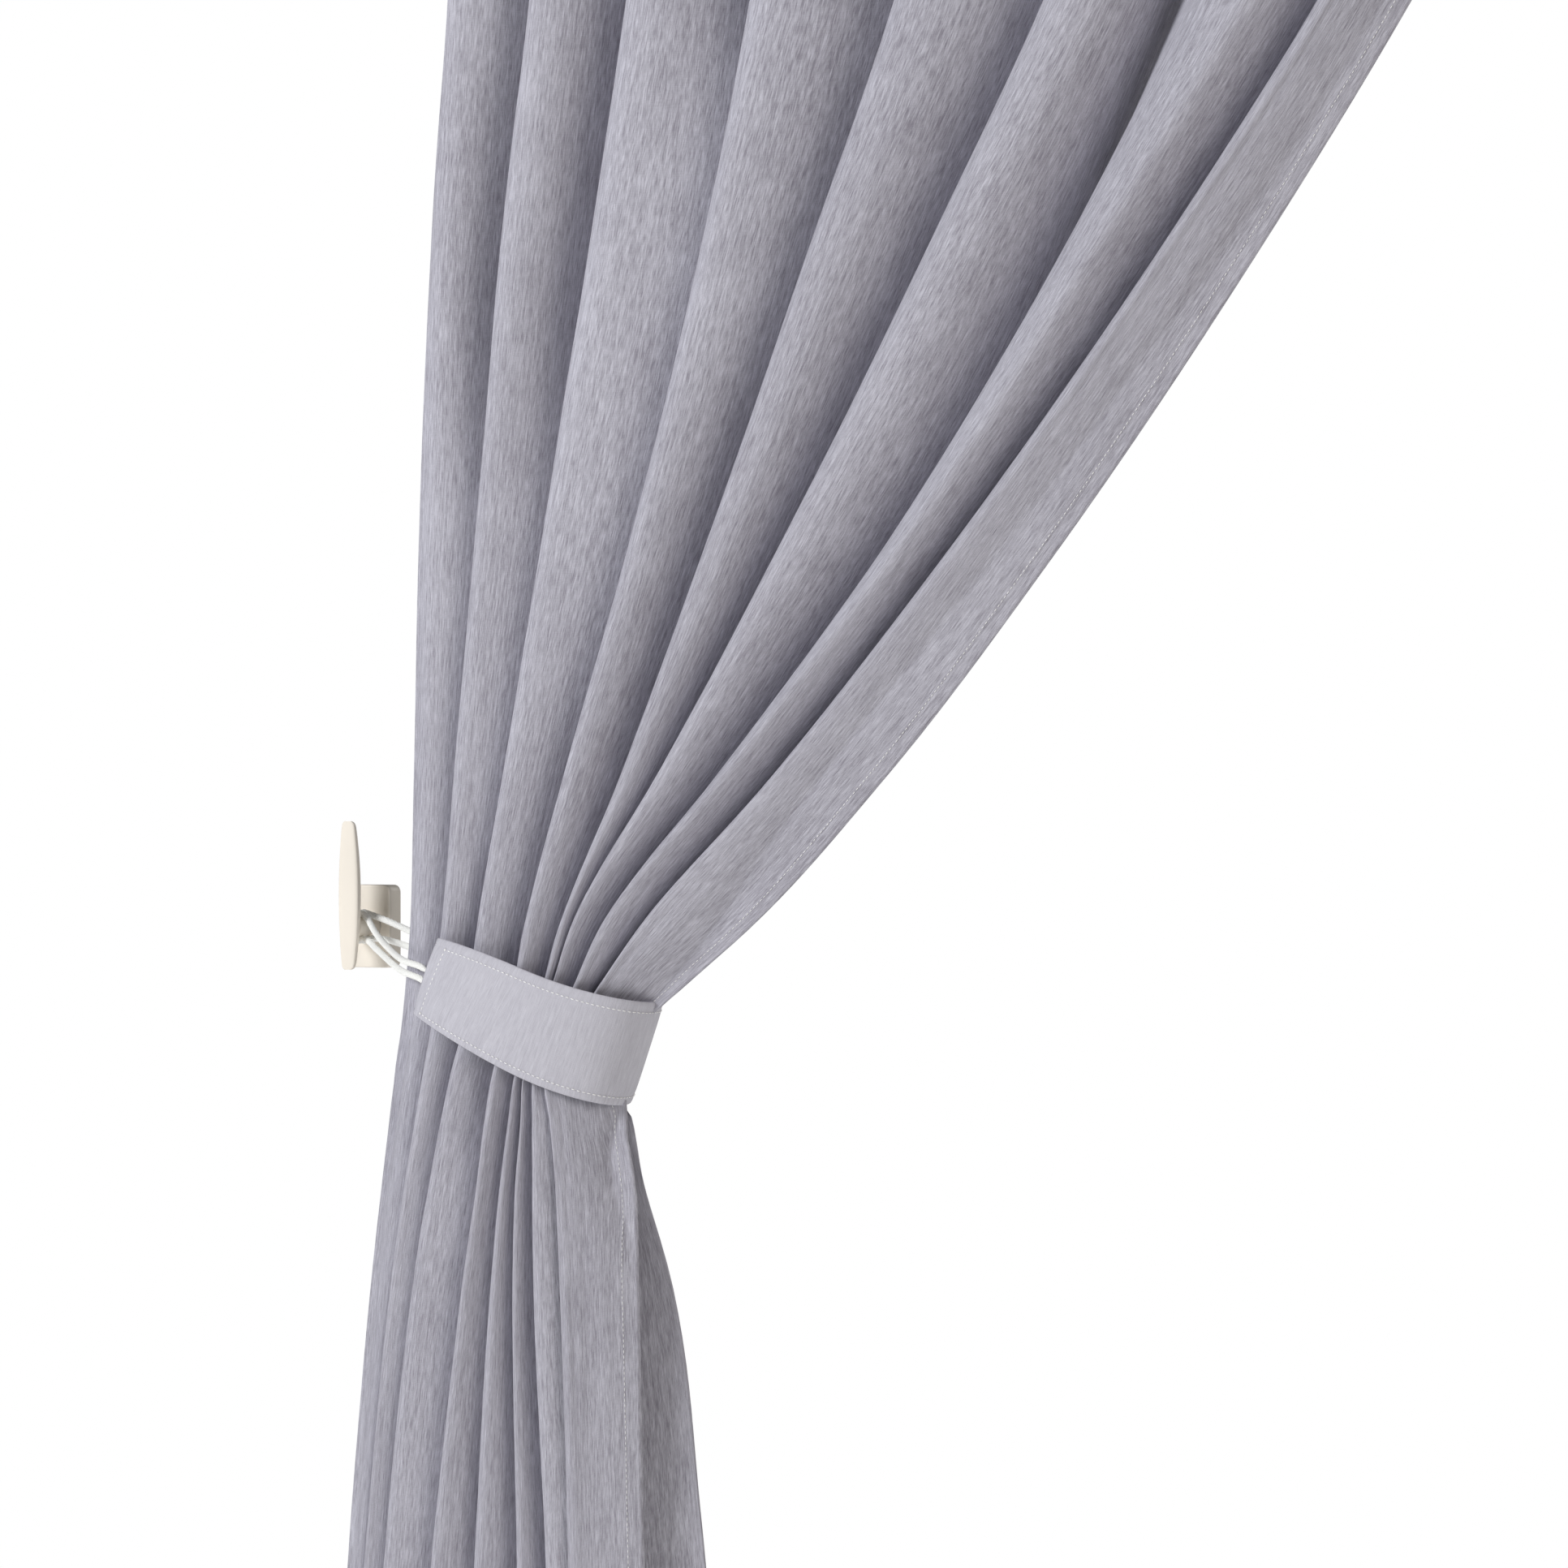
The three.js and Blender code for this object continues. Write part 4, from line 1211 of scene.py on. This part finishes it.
def finial(name, node, body, side):
    """A ball on a stepped collar; its plug goes into the tube."""
    low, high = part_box(node)
    ball_r, plug, collar, neck_r, neck_x = (v * MM for v in (17, 18, 6, 8, 12))
    length = high.x - low.x
    rim_r = (14.5 if side < 0 else 13.0) * MM
    plug_r = rim_r - 2 * MM - 1.5 * MM
    neck = math.asin(neck_r / ball_r)
    ball_x = neck_x + ball_r * math.cos(neck)
    profile = [(0, -plug), (plug_r - 0.6 * MM, -plug), (plug_r, -plug + 0.6 * MM),
               (plug_r, 0.3 * MM), (rim_r - 0.5 * MM, 0.3 * MM), (rim_r, 0.8 * MM), (rim_r, 2.2 * MM),
               (rim_r - 0.45 * MM, 2.6 * MM), (rim_r - 0.45 * MM, 3.2 * MM), (rim_r, 3.6 * MM),
               (rim_r, collar - 0.7 * MM), (rim_r - 0.7 * MM, collar)]
    for a in np.linspace(0, math.pi / 2, 8)[1:]:
        profile.append((rim_r - 0.7 * MM - (rim_r - 0.7 * MM - neck_r) * math.sin(a),
                        collar + (neck_x - collar) * (1 - math.cos(a))))
    for a in np.linspace(neck, math.pi, 40)[1:]:
        profile.append((ball_r * math.sin(a), ball_x - ball_r * math.cos(a)))
    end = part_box("rod_outer_tube")[0].x if side < 0 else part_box("rod_inner_tube")[1].x
    made = turned(name, profile, (end, ROD.y, ROD.z), (side, 0, 0), LACQUER, 80)
    made.data.set_sharp_from_angle(angle=math.radians(50))
    return settle(made, body, "rod", node)


tube("thick_tube", "rod_outer_tube", "fixed_parts")
tube("thin_tube", "rod_inner_tube", "inner_rod")
finial("ball_finial_left", "finial_left", "fixed_parts", -1)
finial("ball_finial_right", "finial_right", "inner_rod", 1)
for side in ("left", "right"):
    bracket = eased(from_frame(f"bracket_{side}_eased", f"bracket_{side}", LACQUER), 0.5 * MM)
    settle(bracket, "fixed_parts", "rod", f"bracket_{side}")

SCREW = {"shank": 2 * MM, "head": 3.9 * MM, "under": 2.4 * MM, "length": 34 * MM}
THREAD_HALF_PITCH = 0.72 * MM
THREAD_DEPTH = 0.42 * MM
SLOT = (4.4 * MM, 2.6 * MM, 0.75 * MM, 1)


def make_screw(name, node, material):
    """A countersunk screw with a rolled thread and a crossed slot."""
    low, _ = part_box(node)
    centre = middle(node)
    head, shank, under, length = (SCREW[k] for k in ("head", "shank", "under", "length"))
    profile = [(0, 0.0), (head - 0.3 * MM, 0), (head, 0.25 * MM), (shank, under)]
    for k in range(34):
        at = under + 3 * MM + k * THREAD_HALF_PITCH
        profile.append((shank - (THREAD_DEPTH if k % 2 else 0), at))
    profile.extend([(shank - 0.5 * MM, length - 5 * MM), (0, length)])
    made = turned(name, profile, (centre.x, low.y, centre.z), (0, 1, 0), material, 24)
    cutter = bmesh.new()
    place = Matrix.Translation((centre.x, low.y, centre.z))
    for turn in (20, 110):
        matrix = place @ Matrix.Rotation(math.radians(turn), 4, "Y") @ Matrix.Diagonal(SLOT)
        bmesh.ops.create_cube(cutter, size=1, matrix=matrix)
    return made, cutter


def carve(made, cutter):
    """Cuts a body's slot, then drops the cutter."""
    mesh = bpy.data.meshes.new("cutter")
    cutter.to_mesh(mesh)
    cutter.free()
    tool = bpy.data.objects.new("cutter", mesh)
    bpy.context.scene.collection.objects.link(tool)
    cut = made.modifiers.new("slot", "BOOLEAN")
    cut.operation, cut.object, cut.solver, cut.use_self = "DIFFERENCE", tool, "EXACT", True
    apply_modifiers(made)
    bpy.data.objects.remove(tool)
    made.data.polygons.foreach_set("use_smooth", [True] * len(made.data.polygons))
    made.data.set_sharp_from_angle(angle=math.radians(30))
    return made


for owner in ("bracket_left", "bracket_right", "hook"):
    for level in ("upper", "lower"):
        node = f"{owner}_screw_{level}"
        screw = carve(*make_screw(f"{node}_slotted", node, ZINC))
        settle(screw, "fixed_parts", "steel_fittings", node)
for side in ("left", "right"):
    node = f"bracket_{side}_grub_screw"
    grub = eased(from_frame(f"{node}_eased", node, ZINC), 0.3 * MM)
    settle(grub, "fixed_parts", "steel_fittings", node)

RING = {"bore": 19 * MM, "wire": 1.75 * MM}
EYELET = {"bore": 3.1 * MM, "wire": 0.9 * MM}
HOOK_WIRE = 1.0 * MM


def make_pleat_hook(name, x):
    """Bent wire: its nose goes over the eyelet and its leg hangs in the tape's pocket."""
    low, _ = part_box(f"pleat_hook_{RINGS}")
    seat = middle("eyelet_1").z - EYELET["bore"] + 1.3 * MM
    leg, nose = -84 * MM, ROD.y - 4.2 * MM
    over = [(nose, seat - 4.4 * MM), (nose + 0.2 * MM, seat - 1.6 * MM),
            (ROD.y - 2 * MM, seat + 0.5 * MM), (ROD.y, seat + 0.8 * MM)]
    down = [(leg - 2.2 * MM, seat + 0.2 * MM), (leg - 0.2 * MM, seat - 2.6 * MM),
            (leg, seat - 10 * MM), (leg, low.z + 0.0001)]
    path = over + down
    route = smooth_path([(x, y, z) for y, z in path], 90)
    run = run_length(route)
    end = np.minimum(run, run[-1] - run)
    radius = HOOK_WIRE * np.sqrt(np.clip(1 - (1 - np.clip(end / HOOK_WIRE, 0, 1)) ** 2, 0.02, 1))
    vertices, faces = loft(swept(route, np.repeat(radius[:, None], 14, 1)))
    return face_outwards(new_object(name, vertices, faces, material=ZINC))


for k, (x, body) in enumerate(zip(ring_x, BODY_OF_RING), 1):
    ring = WIRE_RING.grow(f"curtain_ring_{k}", None, Middle_radius=RING["bore"] + RING["wire"],
                          Wire_radius=RING["wire"], Place=middle(f"ring_{k}"),
                          Turn=(0, math.pi / 2, 0), Material=LACQUER)
    settle(ring, body, "rod", f"ring_{k}")
    eyelet = WIRE_RING.grow(f"ring_eyelet_{k}", None, Middle_radius=EYELET["bore"] + EYELET["wire"],
                            Wire_radius=EYELET["wire"], Place=middle(f"eyelet_{k}"),
                            Turn=(math.pi / 2, 0, 0), Material=ZINC)
    settle(eyelet, body, "steel_fittings", f"eyelet_{k}")
    settle(make_pleat_hook(f"wire_hook_{k}", x), body, "steel_fittings", f"pleat_hook_{k}")


# ---- Light, world and floor ---------------------------------------------------------------


LIT = Vector((0.15, -0.08, -1.05))  # the middle of the cloth


def area_light(name, azimuth, elevation, distance, size, power, colour):
    """A soft light aimed at the curtain, its azimuth round from straight in front."""
    light = bpy.data.lights.new(name, "AREA")
    light.shape, light.size, light.energy, light.color = "DISK", size, power, colour
    made = bpy.data.objects.new(name, light)
    a, e = math.radians(azimuth), math.radians(elevation)
    out = Vector((math.sin(a) * math.cos(e), -math.cos(a) * math.cos(e), math.sin(e)))
    made.location = LIT + distance * out
    made.rotation_mode = "QUATERNION"
    made.rotation_quaternion = (-out).to_track_quat("-Z", "Y")
    bpy.context.scene.collection.objects.link(made)


area_light("key", -32, 22, 3.2, 1.5, 80, (0.97, 0.98, 1.0))
area_light("fill", 62, 12, 3.4, 1.8, 25, (1.0, 0.94, 0.88))
area_light("back", 158, 25, 3.6, 2.4, 34, (1.0, 0.99, 0.97))

world = bpy.data.worlds.new("studio")
bpy.context.scene.world = world
world.use_nodes = True
nodes, links = world.node_tree.nodes, world.node_tree.links
ray = nodes.new("ShaderNodeLightPath")
strength = nodes.new("ShaderNodeMapRange")
strength.inputs["To Min"].default_value = 0.12
strength.inputs["To Max"].default_value = 1.0
links.new(ray.outputs["Is Camera Ray"], strength.inputs["Value"])
links.new(strength.outputs[0], nodes["Background"].inputs["Strength"])
nodes["Background"].inputs["Color"].default_value = (1, 1, 1, 1)
bpy.context.scene.view_settings.view_transform = "Standard"

FLOOR_Z = HEM_Z - 0.06
corners = [(x, y, FLOOR_Z) for x, y in ((-4, -4), (4, -4), (4, 2), (-4, 2))]
floor = new_object("floor", corners, [[0, 1, 2, 3]], smooth=False)
pale = Shader("pale floor")
pale.set(Base_Color=(0.86, 0.86, 0.85, 1), Roughness=0.8,
         Emission_Color=(1, 1, 1, 1), Emission_Strength=0.45)
floor.data.materials.append(pale.material)
